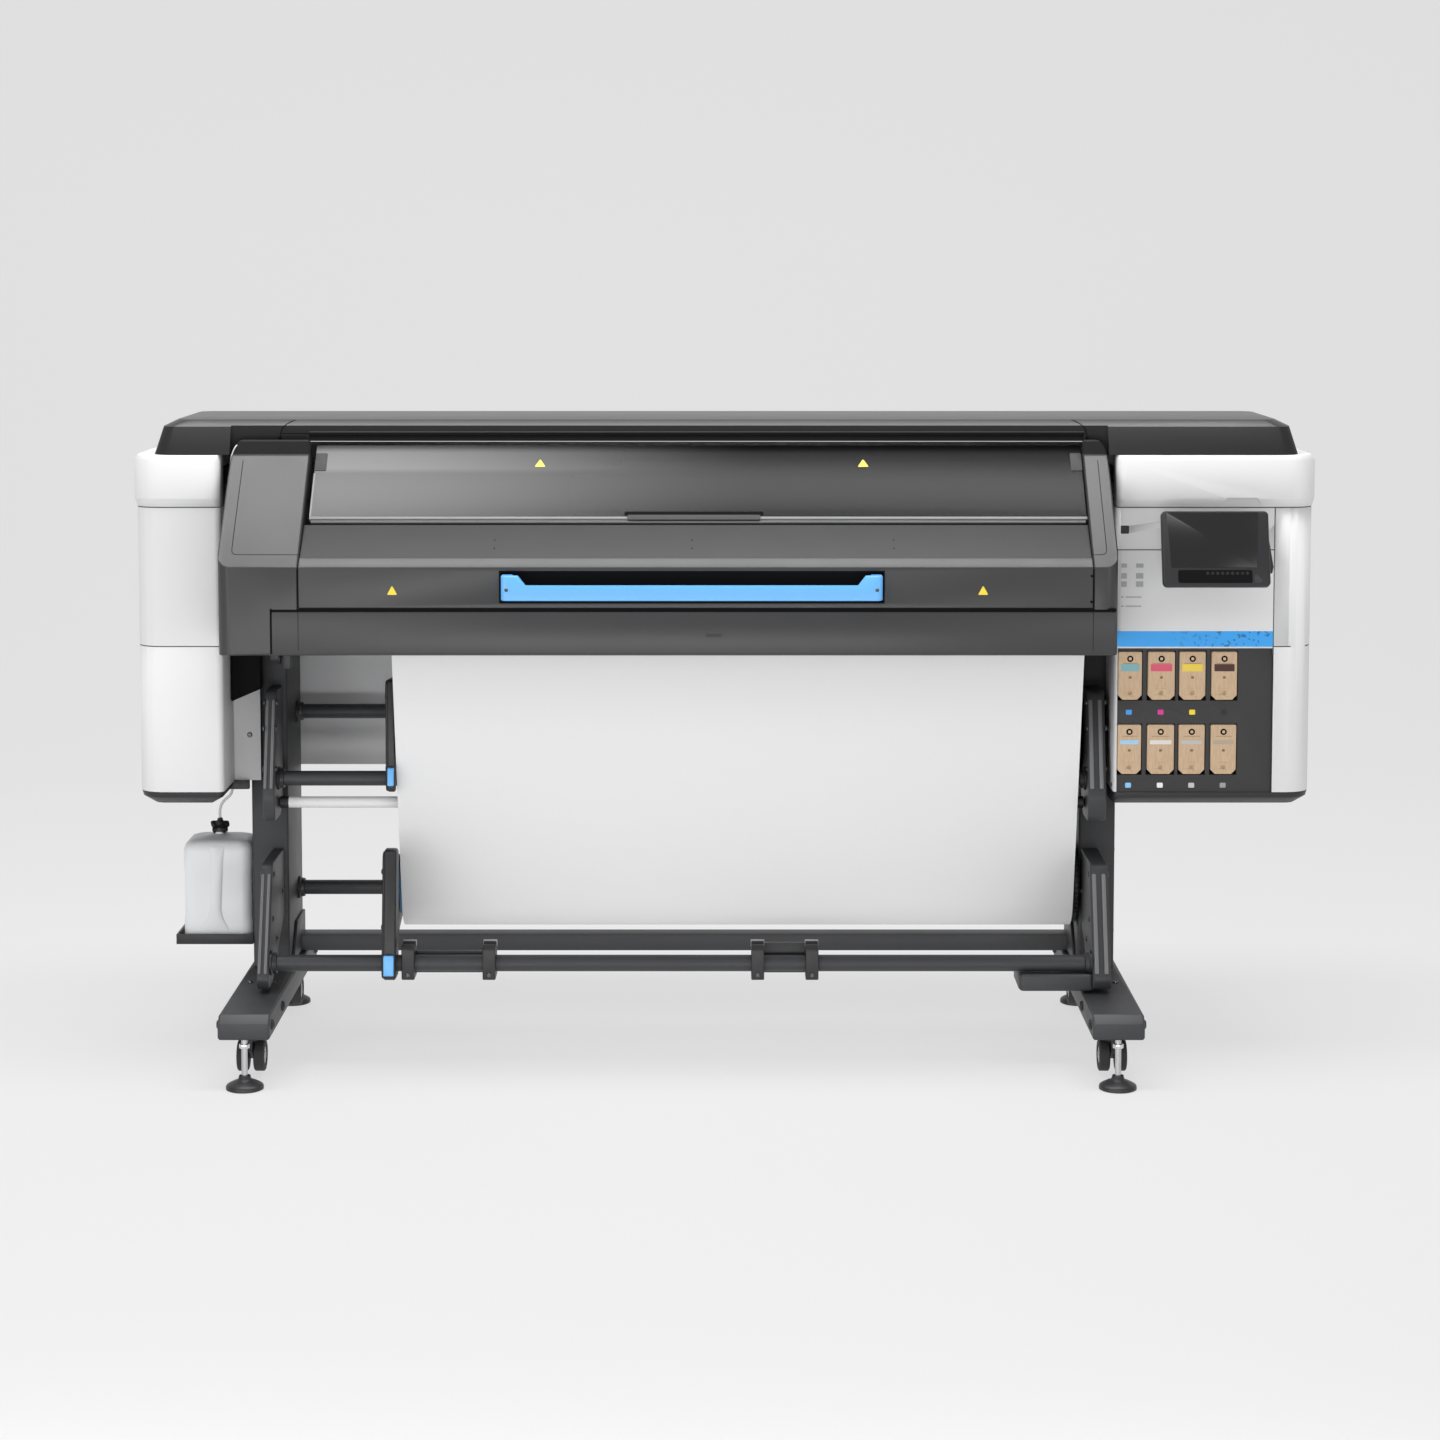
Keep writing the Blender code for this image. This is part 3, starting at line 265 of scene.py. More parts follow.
def smoked_glass(name):
    """Smoked sheet with a painted highlight that lightens it towards its left end, and darker below z 1.29
    than above it.
    """
    low, high = (0.010, 0.010, 0.011), (0.25, 0.25, 0.25)
    made, tree, shader = new_material(name, low, 0.24)
    parts = add(tree, "SeparateXYZ")
    link(tree, placed(tree), "Vector", parts, "Vector")
    # painted highlight: the colour rises from low to high towards the sheet's left end
    fade = fading(tree, parts, "X", 0.10, -0.90, interpolation_type="SMOOTHSTEP")
    band = fading(tree, parts, "Z", 1.286, 1.300, interpolation_type="SMOOTHSTEP")
    band.inputs["To Min"].default_value = 0.62
    tinted(tree, shader, product(tree, fade, "Result", band), "Value", low, high)
    shader.inputs["Alpha"].default_value = 0.84
    shader.inputs["Specular IOR Level"].default_value = 0.14
    return made


# ---- shapes ----
PLACES = {
    "X": lambda a, b, along: (along, a, b),
    "Y": lambda a, b, along: (a, along, b),
    "Z": lambda a, b, along: (a, b, along),
}


def rounded(*corners, steps=5):
    """An outline through (a, b) or (a, b, radius) corners; a radius makes the corner an arc."""
    points = []
    for i, corner in enumerate(corners):
        here = Vector(corner[:2])
        if len(corner) == 2:
            points.append(here)
            continue
        before = (Vector(corners[i - 1][:2]) - here).normalized()
        after = (Vector(corners[(i + 1) % len(corners)][:2]) - here).normalized()
        half = before.angle(after) / 2
        centre = here + (before + after).normalized() * corner[2] / math.sin(half)
        reach = corner[2] / math.tan(half)
        start, end = here + before * reach - centre, here + after * reach - centre
        turn = math.atan2(start.x * end.y - start.y * end.x, start.dot(end))
        for k in range(steps + 1):
            points.append(centre + Matrix.Rotation(turn * k / steps, 2) @ start)
    return points


def as_mesh(shape):
    bmesh.ops.recalc_face_normals(shape, faces=shape.faces)
    mesh = bpy.data.meshes.new("shape")
    shape.to_mesh(mesh)
    shape.free()
    return mesh


def loft(rings, closed=False):
    """A skin through rings of equal length, with ends closed unless the last meets the first."""
    shape = bmesh.new()
    rows = [[shape.verts.new(point) for point in ring] for ring in rings]
    pairs = list(zip(rows, rows[1:] + rows[:1])) if closed else list(zip(rows, rows[1:]))
    for one, two in pairs:
        for k in range(len(one)):
            n = (k + 1) % len(one)
            shape.faces.new((one[k], one[n], two[n], two[k]))
    if not closed:
        shape.faces.new(rows[0])
        shape.faces.new(rows[-1])
    return as_mesh(shape)


def prism(outline, axis, low, high):
    place = PLACES[axis]
    return loft([[place(p[0], p[1], along) for p in outline] for along in (low, high)])


def block(x, y, z):
    return prism([(x[0], y[0]), (x[1], y[0]), (x[1], y[1]), (x[0], y[1])], "Z", *z)


def pad(axis, a, b, along, corner, steps=5):
    """A plate with rounded corners across an axis: a and b are its ranges in the other two."""
    ends = ((a[0], b[0]), (a[1], b[0]), (a[1], b[1]), (a[0], b[1]))
    return prism(rounded(*[(*end, corner) for end in ends], steps=steps), axis, *along)


def circle(axis, centre, radius, along, sides):
    place = PLACES[axis]
    turns = [2 * math.pi * k / sides for k in range(sides)]
    return [
        place(centre[0] + radius * math.cos(t), centre[1] + radius * math.sin(t), along) for t in turns
    ]


def turned(axis, centre, profile, sides=48, closed=False):
    return loft([circle(axis, centre, r, along, sides) for along, r in profile], closed)


def disc(axis, centre, radius, along, sides):
    return turned(axis, centre, [(a, radius) for a in along], sides)


def rod(axis, centre, low, high, radius, ease, drop, sides):
    """A round bar; its end edges are eased over ease along it and drop across it."""
    return turned(axis, centre, [(low, radius - drop), (low + ease, radius), (high - ease, radius),
                                 (high, radius - drop)], sides)


def sleeve(axis, centre, inner, outer, low, high, sides):
    """A tube with square ends."""
    return turned(axis, centre, [(low, inner), (low, outer), (high, outer), (high, inner)], sides, True)


def mirrored(axis, centre, ends, profile, sides):
    """The same turned part at each end: ends are (place along the axis, side it grows to)."""
    return gathered([turned(axis, centre, [(at + side * a, r) for a, r in profile], sides)
                     for at, side in ends])


def bevelled(mesh, width, limit=30, segments=2):
    """The mesh welded, its flat faces made whole, and its sharp edges rounded."""
    shape = bmesh.new()
    shape.from_mesh(mesh)
    bmesh.ops.remove_doubles(shape, verts=shape.verts, dist=0.00002)
    bmesh.ops.dissolve_limit(shape, angle_limit=0.004, verts=shape.verts, edges=shape.edges)
    if width:
        sharp = [e for e in shape.edges if e.calc_face_angle(0) > math.radians(limit)]
        bmesh.ops.bevel(shape, geom=sharp, offset=width, segments=segments, profile=0.5,
                        affect="EDGES", clamp_overlap=True)
    return as_mesh(shape)


def gathered(meshes):
    """Several meshes as one."""
    shape = bmesh.new()
    for mesh in meshes:
        shape.from_mesh(mesh)
        bpy.data.meshes.remove(mesh)
    made = bpy.data.meshes.new("shape")
    shape.to_mesh(made)
    shape.free()
    return made


def cut(mesh, cutters):
    """The mesh with the cutters taken out of it."""
    base = bpy.data.objects.new("shape", mesh)
    tools = [bpy.data.objects.new("cutter", cutter) for cutter in cutters]
    for made in [base, *tools]:
        scene.collection.objects.link(made)
    for tool in tools:
        modifier = base.modifiers.new("cut", "BOOLEAN")
        modifier.operation, modifier.solver, modifier.object = "DIFFERENCE", "EXACT", tool
    graph = bpy.context.evaluated_depsgraph_get()
    result = bpy.data.meshes.new_from_object(base.evaluated_get(graph))
    for made in [base, *tools]:
        bpy.data.objects.remove(made)
    return result


def piece(name, mesh, look, node=None, replaces=False, smooth=35):
    """Puts a mesh in the scene. It rides with a CAD node, or on the frame where none is given, and
    may stand in for that node. look is a key of LOOKS or a list of them."""
    mesh.name = name
    mesh.materials.clear()
    for key in look if isinstance(look, list) else [look]:
        mesh.materials.append(LOOKS[key])
    mesh.shade_smooth()
    mesh.set_sharp_from_angle(angle=math.radians(smooth))
    made = bpy.data.objects.new(name, mesh)
    scene.collection.objects.link(made)
    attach(made, BODY_OF[node] if node else FRAME_BODY)
    if replaces:
        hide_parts(node)
    return made


def skin(node, look, edge=0.0015, limit=30, segments=2, cutters=(), second=None):
    """The CAD node's own shape with rounded edges and smooth shading. Where look is a pair, second
    says which faces take the other one."""
    mesh = bevelled(frame["nodes"][node].data, edge, limit, segments)
    if cutters:
        mesh = cut(mesh, cutters)
    made = piece(node + "_skin", mesh, look, node, True)
    if second:
        for face in made.data.polygons:
            face.material_index = int(second(face))
    return made


def leaning(foot, head):
    """A plane that leans in YZ, from foot to head: its origin and its directions up and out."""
    origin = Vector(foot)
    up = (Vector(head) - origin).normalized()
    return origin, up, Vector((-up.y, up.x))


def leaned(mesh, plane, x=0):
    """Moves a mesh made flat, as (across, up, out), onto a leaning plane."""
    origin, up, out = plane
    for vertex in mesh.vertices:
        wide, high, deep = vertex.co
        place = origin + up * high + out * deep
        vertex.co = (wide + x, place.x, place.y)
    return mesh


def eased(mesh, edge):
    return bevelled(mesh, edge) if edge else mesh


def headings(points):
    """Each point of a line with the line's direction there."""
    points = [Vector(p) for p in points]
    for i, point in enumerate(points):
        yield point, (points[min(i + 1, len(points) - 1)] - points[max(i - 1, 0)]).normalized()


def thread(points, radius, sides=8):
    """A thin round line through points."""
    rings = []
    for point, along in headings(points):
        across = along.cross(Vector((0.31, 0.17, 0.93))).normalized()
        up = across.cross(along)
        turns = [2 * math.pi * k / sides for k in range(sides)]
        rings.append([point + (across * math.cos(t) + up * math.sin(t)) * radius for t in turns])
    return loft(rings)


def screw_heads(name, axis, side, places, radius, look="bolt", node=None):
    """Button heads with a hexagon socket: places are (a, b, along) with the head standing to side."""
    heads = []
    for a, b, along in places:
        rim, top = along + side * radius * 0.25, along + side * radius * 0.55
        floor = along + side * radius * 0.15
        heads.append(turned(axis, (a, b), [
            (along - side * 0.0005, radius), (rim, radius), (top, radius * 0.7), (top, radius * 0.45),
            (floor, radius * 0.42),
        ], 18))
    return piece(name, gathered(heads), look, node)


# ---- free hose: placed first, with the camera ----
HOSE_ROUTE = (
    (-1.147, 0.150, 0.4845), (-1.147, 0.150, 0.4930), (-1.1465, 0.150, 0.5030),
    (-1.1440, 0.150, 0.5130), (-1.1390, 0.150, 0.5215), (-1.1320, 0.150, 0.5285),
    (-1.1250, 0.150, 0.5345), (-1.1200, 0.150, 0.5410), (-1.1180, 0.150, 0.5490),
    (-1.1175, 0.150, 0.5585),
)
HOSE_DIAMETER = 0.006


def make_hose():
    """The drain hose from the left cabinet's base into the bottle's cap."""
    curve = bpy.data.curves.new("drain_hose", "CURVE")
    curve.dimensions = "3D"
    spline = curve.splines.new("POLY")
    spline.points.add(len(HOSE_ROUTE) - 1)
    for point, place in zip(spline.points, HOSE_ROUTE):
        point.co = (*place, 1)
    curve.bevel_depth, curve.bevel_resolution = HOSE_DIAMETER / 2, 4
    curve.use_fill_caps = True
    curve.materials.append(LOOKS["hose"])
    hose = bpy.data.objects.new("drain_hose", curve)
    scene.collection.objects.link(hose)
    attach(hose, FRAME_BODY)
    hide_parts("bottle_hose")


# ---- media ----
WEB_X = (-0.722, 0.780)
INPUT_AXIS, INPUT_RADIUS = (0.100, 0.686), 0.085
TAKEUP_AXIS, TAKEUP_RADIUS = (0.115, 0.345), 0.095
DRIVE_AXIS, DRIVE_RADIUS = (0.210, 1.030), 0.020
WEB_GAP, WEB_THICKNESS = 0.001, 0.0012
WEB_EXIT = (-0.150, 0.894)


def arc(axis, radius, angles):
    return [(axis[0] + radius * math.cos(t), axis[1] + radius * math.sin(t)) for t in angles]


def spread(low, high, count):
    return [low + (high - low) * k / (count - 1) for k in range(count)]


def smooth_line(points, steps=6):
    """A Catmull-Rom curve through points."""
    ends = [points[0], *points, points[-1]]
    out = []
    for i in range(1, len(ends) - 2):
        a, b, c, d = (Vector(p) for p in ends[i - 1:i + 3])
        for k in range(steps):
            t = k / steps
            out.append(0.5 * (2 * b + (c - a) * t + (2 * a - 5 * b + 4 * c - d) * t * t
                              + (3 * b - a - 3 * c + d) * t ** 3))
    out.append(Vector(points[-1]))
    return [tuple(p) for p in out]


def web_path():
    """The media's route off the input roll, over the drive roller and platen and down in front to the
    take-up roll, as (y, z) points on the side that faces the rolls."""
    path = arc(INPUT_AXIS, INPUT_RADIUS + WEB_GAP, spread(-0.6, 0.0, 13))
    path += arc(DRIVE_AXIS, DRIVE_RADIUS + WEB_GAP, spread(0.0, math.pi / 2, 13))
    path += smooth_line([(-0.020, 1.051), (-0.050, 1.051), (-0.085, 1.043), (-0.118, 1.012),
                         (-0.140, 0.960), WEB_EXIT], 5)
    dy, dz = WEB_EXIT[0] - TAKEUP_AXIS[0], WEB_EXIT[1] - TAKEUP_AXIS[1]
    reach = TAKEUP_RADIUS + WEB_GAP
    tangent = math.atan2(dz, dy) + math.acos(reach / math.hypot(dy, dz))
    last = arc(TAKEUP_AXIS, reach, spread(tangent, 1.5 * math.pi + 0.25, 24))
    path += [tuple(Vector(WEB_EXIT).lerp(Vector(last[0]), k / 8)) for k in range(1, 8)]
    return path + last


def ribbon(path, thickness):
    """The path with a second one beside it, on the side away from the rolls."""
    outer = [point + Vector((along.y, -along.x)) * thickness for point, along in headings(path)]
    return [*path, *reversed(outer)]


def make_web():
    path = web_path()
    web = prism(ribbon(path, WEB_THICKNESS), "X", *WEB_X)
    sheet = piece("media_sheet", web, "media", "media_web", True, 30)


CORE_RADIUS, CORE_WALL = 0.0385, 0.005


def make_rolls():
    low, high = WEB_X
    for name, axis, radius in (("takeup_roll", TAKEUP_AXIS, TAKEUP_RADIUS),
                               ("input_roll", INPUT_AXIS, INPUT_RADIUS)):
        wound = CORE_RADIUS + CORE_WALL
        roll = turned("X", axis, [
            (low, wound), (low, radius - 0.0004), (low + 0.0004, radius), (high - 0.0004, radius),
            (high, radius - 0.0004), (high, wound),
        ], 128, closed=True)
        paper = piece(name + "_paper", roll, ["media", "roll_end"], name, True, 30)
        for face in paper.data.polygons:
            face.material_index = 1 if abs(face.normal.x) > 0.9 else 0
        core = sleeve("X", axis, CORE_RADIUS, wound - 0.0002, low, high, 64)
        piece(name + "_core", core, "card", name)


# ---- hubs ----
FLANGE_RADIUS, PLUG_RADIUS = 0.075, 0.036
HUB_PLATE_X = (-0.745, -0.735)
COLUMN_X, COLUMN_WIDTH = {"left": -1.0213, "right": 0.8372}, 0.082


def ribbed_disc(axis, radius, depth, count, x):
    """A disc whose rim is notched all round, as on a hand wheel."""
    rim = []
    for k in range(count):
        for part, reach in ((0.0, radius), (0.5, radius), (0.58, radius - depth), (0.92, radius - depth)):
            t = 2 * math.pi * (k + part) / count
            rim.append((axis[0] + reach * math.cos(t), axis[1] + reach * math.sin(t)))
    return prism(rim, "X", *x)


def make_hubs():
    face, root = WEB_X[0] - 0.0015, HUB_PLATE_X[1] + 0.001
    for name, axis in (("takeup_idle_hub", TAKEUP_AXIS), ("input_idle_hub", INPUT_AXIS)):
        hub = turned("X", axis, [
            (root, 0.030), (root + 0.002, 0.034), (root + 0.003, FLANGE_RADIUS - 0.003),
            (root + 0.0045, FLANGE_RADIUS), (face - 0.001, FLANGE_RADIUS), (face, FLANGE_RADIUS - 0.001),
            (face, PLUG_RADIUS), (face + 0.050, PLUG_RADIUS), (face + 0.056, 0.033),
            (face + 0.058, 0.028), (face + 0.052, 0.024), (face + 0.030, 0.023),
        ], 96)
        piece(name + "_shape", hub, "blue", name, True)
        ribs = [rod("X", axis, face + a, face + a + 0.003, PLUG_RADIUS + 0.001, 0.0006, 0.001, 64)
                for a in (0.012, 0.024, 0.036)]
        piece(name + "_grip", gathered(ribs), "rubber", name)
    face, root = WEB_X[1] + 0.0015, COLUMN_X["right"] - COLUMN_WIDTH / 2 - 0.0015
    for name, axis in (("takeup_drive_hub", TAKEUP_AXIS), ("input_drive_hub", INPUT_AXIS)):
        hub = turned("X", axis, [
            (face - 0.060, 0.028), (face - 0.058, 0.033), (face - 0.052, PLUG_RADIUS), (face, PLUG_RADIUS),
            (face, FLANGE_RADIUS + 0.004), (face + 0.004, FLANGE_RADIUS + 0.006),
            (root - 0.004, FLANGE_RADIUS + 0.006), (root, FLANGE_RADIUS + 0.001),
        ], 96)
        piece(name + "_shape", hub, "black", name, True)
        rim = ribbed_disc(axis, FLANGE_RADIUS + 0.015, 0.005, 44, (face + 0.004, face + 0.0115))
        piece(name + "_rim", bevelled(rim, 0.0006), "black", name)
        ring = sleeve("X", axis, 0.052, 0.066, face - 0.0008, face + 0.001, 96)
        piece(name + "_ring", ring, "zinc", name)


# ---- stand ----
LEG_X = {"left": -1.0167, "right": 0.8329}
BEAM_TOP_Z, BEAM_LOW_Z = 0.160, 0.1075
FOOT_Y, PAD_RADIUS, CASTER_Y = 0.386, 0.040, (-0.290, 0.310)
ARM_LEFT_X, ARM_RIGHT_X = (-1.016, -0.990), (0.800, 0.840)
RAILS = {
    "lower_front_rail": (-0.170, 0.222, 0.018), "lower_rear_rail": (0.235, 0.3074, 0.0165),
    "upper_front_rail": (-0.020, 0.604, 0.0165), "upper_rear_rail": (0.235, 0.7165, 0.0165),
}
TENSION_BAR = (0.000, 0.547, 0.0125)


def make_stand():
    for side in LEG_X:
        skin(f"{side}_leg", "coat", 0.0012)
        skin(f"{side}_upper_arm", "coat", 0.001)
        skin(f"{side}_lower_arm", "coat", 0.001)
    skin("cross_beam", "coat", 0.0012)
    inner = COLUMN_WIDTH / 2 + 0.0005
    for name, (y, z, radius) in RAILS.items():
        low, high = ARM_LEFT_X[1] + 0.0005, ARM_RIGHT_X[0] - 0.0005
        if y > 0.069:
            low, high = COLUMN_X["left"] + inner, COLUMN_X["right"] - inner
        bar = rod("X", (y, z), low, high, radius, 0.0008, 0.0008, 64)
        piece(name + "_tube", bar, "coat", name, True)
        flanges = mirrored("X", (y, z), ((low, 1), (high, -1)), [
            (0, radius + 0.009), (0.004, radius + 0.009), (0.006, radius + 0.006), (0.014, radius + 0.004),
            (0.015, radius),
        ], 48)
        piece(name + "_flanges", flanges, "black")
    y, z, radius = TENSION_BAR
    low, high = ARM_LEFT_X[1] + 0.0005, ARM_RIGHT_X[0] - 0.0005
    bar = rod("X", (y, z), low + 0.014, high - 0.014, radius, 0.001, 0.001, 64)
    piece("tension_bar_tube", bar, "tube", "tension_bar", True)
    caps = mirrored("X", (y, z), ((low, 1), (high, -1)),
                    [(0, 0.008), (0.002, 0.0135), (0.020, 0.0135), (0.021, radius)], 40)
    piece("tension_bar_caps", caps, "black", "tension_bar")
    make_stand_hardware()


def make_stand_hardware():
    """Bolts on the arms and the legs' outer faces."""
    for side, x in LEG_X.items():
        for out in (-1, 1):
            places = [(y, z, x + out * 0.055) for y, z in ((-0.365, 0.134), (-0.20, 0.134), (0.365, 0.134))]
            name = "outer" if (out > 0) == (side == "right") else "inner"
            screw_heads(f"{side}_beam_{name}_bolts", "X", out, places, 0.011, "black")
        column = COLUMN_X[side]
        out = 1 if side == "right" else -1
        face = column + out * COLUMN_WIDTH / 2
        places = [(y, z, face) for y in (0.11, 0.26) for z in (0.235, 0.42, 0.60, 0.78)]
        screw_heads(f"{side}_column_bolts", "X", out, places, 0.0075)
        tops = [(x + a, y, BEAM_TOP_Z) for a in (-0.030, 0.030) for y in (-0.09, 0.02, 0.345)]
        screw_heads(f"{side}_beam_bolts", "Z", 1, tops, 0.007)
    make_arm_ribs()
    places = ((-0.055, 0.63), (-0.048, 0.72), (-0.030, 0.775), (0.030, 0.54),
              (-0.105, 0.405), (-0.125, 0.31), (0.030, 0.34), (-0.075, 0.255))
    for side, (outer, inner), out in (("left", ARM_LEFT_X, -1), ("right", ARM_RIGHT_X[::-1], 1)):
        for name, face, way in (("outer", outer, out), ("inner", inner, -out)):
            screw_heads(f"{side}_arm_{name}_bolts", "X", way, [(*p, face) for p in places], 0.0065)


def make_arm_ribs():
    """Raised ribs down the front edges of the arms."""
    for side, (low, high) in (("left", ARM_LEFT_X), ("right", ARM_RIGHT_X)):
        for name, foot, head in (("upper", (-0.0815, 0.590), (-0.0250, 0.780)),
                                 ("lower", (-0.2045, 0.205), (-0.1265, 0.410))):
            plane, length = leaning(foot, head), math.dist(foot, head)
            width = high - low
            ribs = [leaned(bevelled(pad("Z", (low + width * a, low + width * b), (0, length),
                                        (-0.003, 0.0022), 0.003, 3), 0.0008), plane)
                    for a, b in ((0.10, 0.32), (0.62, 0.84))]
            piece(f"{side}_{name}_arm_ribs", gathered(ribs), "rib")


def make_feet():
    top = BEAM_LOW_Z - 0.0005
    for side, x in LEG_X.items():
        for end, y in (("front", -FOOT_Y), ("rear", FOOT_Y)):
            name = f"{side}_{end}_levelling_foot"
            dome = turned("Z", (x, y), [
                (0.0, PAD_RADIUS - 0.003), (0.0015, PAD_RADIUS), (0.007, PAD_RADIUS), (0.010, 0.0385),
                (0.013, 0.034), (0.018, 0.024), (0.021, 0.016), (0.024, 0.0135), (0.030, 0.012),
            ], 64)
            piece(name + "_pad", dome, "black", name, True, 40)
            threads = [(0.029, 0.0062)]
            pitch = 0.002
            for k in range(int((top - 0.030) / pitch)):
                z = 0.030 + k * pitch
                threads += [(z, 0.0063), (z + pitch / 2, 0.0068)]
            screw = turned("Z", (x, y), [*threads, (top, 0.0060)], 32)
            piece(name + "_screw", screw, "rod", name, smooth=60)
            nut = prism([(x + 0.0115 * math.cos(t), y + 0.0115 * math.sin(t))
                         for t in spread(0, 5 * math.pi / 3, 6)], "Z", 0.0885, 0.098)
            piece(name + "_nut", bevelled(nut, 0.0008), "zinc", name)


def make_casters():
    radius, axle_z, top = 0.034, 0.046, BEAM_LOW_Z - 0.0005
    for side, x in LEG_X.items():
        for end, y in zip(("front", "rear"), CASTER_Y):
            name = f"{side}_{end}_caster"
            axle = (y + 0.012, axle_z)
            sides = ((x, -1), (x, 1))
            tyres = mirrored("X", axle, sides, [
                (0.0065, 0.020), (0.0065, radius - 0.003), (0.009, radius), (0.027, radius),
                (0.0295, radius - 0.003), (0.0295, 0.022), (0.0265, 0.020),
            ], 48)
            hubs = mirrored("X", axle, sides, [
                (0.0262, 0.0195), (0.0275, 0.0190), (0.0275, 0.009), (0.0300, 0.007),
            ], 32)
            piece(name + "_tyres", tyres, "rubber", name, True, 40)
            piece(name + "_hubs", hubs, "grey_mark", name)
            outline = rounded((y - 0.022, 0.090, 0.006), (y - 0.020, 0.062, 0.01), (y + 0.012, 0.036, 0.006),
                              (y + 0.030, 0.060, 0.006), (y + 0.022, 0.090, 0.006))
            fork = bevelled(prism(outline, "X", x - 0.0052, x + 0.0052), 0.0012)
            guard = disc("X", axle, 0.0040, (x - 0.0300, x + 0.0300), 20)
            stem = turned("Z", (x, y), [(0.080, 0.016), (0.092, 0.024), (0.096, 0.0245), (top, 0.0245)], 48)
            piece(name + "_fork", gathered([fork, guard, stem]), "black", name)


# ---- hub arms, levers and cradles on the rails ----
def make_rail_fittings():
    for name in ("takeup_hub_arm", "input_hub_arm", "left_cradle", "right_cradle"):
        skin(name, "black", 0.0008, 35)
    for name in ("takeup_lock_lever", "input_lock_lever"):
        skin(name, "blue", 0.0008)
    low = HUB_PLATE_X[0]
    for name, places in (
        ("takeup_hub_arm", ((0.115, 0.345), (-0.150, 0.42), (-0.165, 0.30), (0.10, 0.29), (0.04, 0.40))),
        ("input_hub_arm", ((0.100, 0.686), (-0.040, 0.79), (-0.045, 0.63), (0.16, 0.74), (0.12, 0.64))),
    ):
        screw_heads(name + "_bolts", "X", -1, [(*p, low) for p in places], 0.0065, "bolt",
                    name)
    y, z, _ = RAILS["lower_front_rail"]
    for name, centres in (("left_cradle", (-0.688, -0.512)), ("right_cradle", (0.072, 0.190))):
        places = [(c, z - 0.020, y - 0.030) for c in centres]
        screw_heads(name + "_screws", "Y", -1, places, 0.005, node=name)
        rollers = [rod("X", (y + 0.0235, z + 0.0395), c - 0.0148, c + 0.0148, 0.0075, 0.0008, 0.001, 24)
                   for c in centres]
        piece(name + "_rests", gathered(rollers), "grey_mark", name)


# ---- print zone ----
CARRIAGE_X = (0.930, 1.170)


def make_print_zone():
    skin("print_beam", "aluminium", 0.0008)
    bar = rod("X", DRIVE_AXIS, -0.770, 0.830, DRIVE_RADIUS, 0.001, 0.001, 64)
    piece("drive_roller_sleeve", bar, "rubber", "drive_roller", True)
    bands = [sleeve("X", DRIVE_AXIS, DRIVE_RADIUS, DRIVE_RADIUS + 0.0004, x, x + 0.004, 64)
             for x in spread(-0.748, 0.806, 14)]
    piece("drive_roller_bands", gathered(bands), "grey_mark", "drive_roller")
    skin("carriage", "black", 0.0010)
    skin("cutter", "blue", 0.0004)
    low, high = CARRIAGE_X
    width = (high - low - 0.040) / 4
    heads = [pad("Y", (low + 0.020 + k * width + 0.003, low + 0.020 + (k + 1) * width - 0.003),
                 (1.085, 1.205), (-0.0015, 0.001), 0.004) for k in range(4)]
    piece("carriage_heads", bevelled(gathered(heads), 0.0005), "grey_mark", "carriage")
    latch = pad("Y", (low + 0.030, high - 0.030), (1.212, 1.224), (-0.0018, 0.001), 0.004)
    piece("carriage_latch", bevelled(latch, 0.0006), "blue", "carriage")
    strip = block((-1.200, 1.200), (0.2565, 0.2570), (1.190, 1.205))
    piece("encoder_strip", strip, "hose")
    belt = gathered([block((-1.200, 1.200), (0.2545, 0.2560), (z, z + 0.009)) for z in (1.150, 1.170)])
    piece("carriage_belt", belt, "belt")
    make_platen()


def make_platen():
    """Vacuum slots of the platen beside the media, and the pinch wheels with their arms behind it."""
    # The vacuum slots are thin near-black sheets: painted shade in the openings.
    slots = [block((x, x + 0.030), (-0.030, 0.150), (1.0499, 1.0504))
             for x in (*spread(-1.10, -0.80, 6), *spread(0.86, 1.16, 6))]
    piece("platen_slots", gathered(slots), "seam")
    wheels, arms = [], []
    for x in spread(-0.680, 0.740, 13):
        wheels.append(rod("X", (DRIVE_AXIS[0], 1.0662), x - 0.012, x + 0.012, 0.014, 0.001, 0.001, 24))
        arms.append(block((x - 0.016, x - 0.0135), (0.203, 0.2615), (1.061, 1.074)))
    piece("pinch_wheels", gathered(wheels), "rubber")
    piece("pinch_arms", gathered(arms), "black")


# ---- cabinets ----
SIDE_X, CABINET_Y = 1.2855, (-0.106, 0.400)
BAND_Z = 1.213
RIGHT_INNER_X = 0.852
CABINETS = {"left": (-SIDE_X, -1.097, -1.109), "right": (SIDE_X, RIGHT_INNER_X, 0.8875)}
BAY_X = (0.8585, 1.1985)
SEAM = 0.0026


def cabinet_plan(outer_x, inner_x, step_x, inset=0.0, steps=9):
    """Plan of a cabinet: large outer corners, and a step back beside the leg column."""
    side = 1 if outer_x > 0 else -1
    front, back = CABINET_Y[0] + inset, CABINET_Y[1] - inset
    outer, inner, step = outer_x - side * inset, inner_x + side * inset, step_x + side * inset
    corner, tight = 0.055 - inset, max(0.014 - inset, 0.002)
    return rounded(
        (inner, front, tight), (outer, front, corner), (outer, back, corner),
        (step, back, 0.006), (step, 0.055 - inset, 0.004), (inner, 0.055 - inset, 0.004), steps=steps,
    )


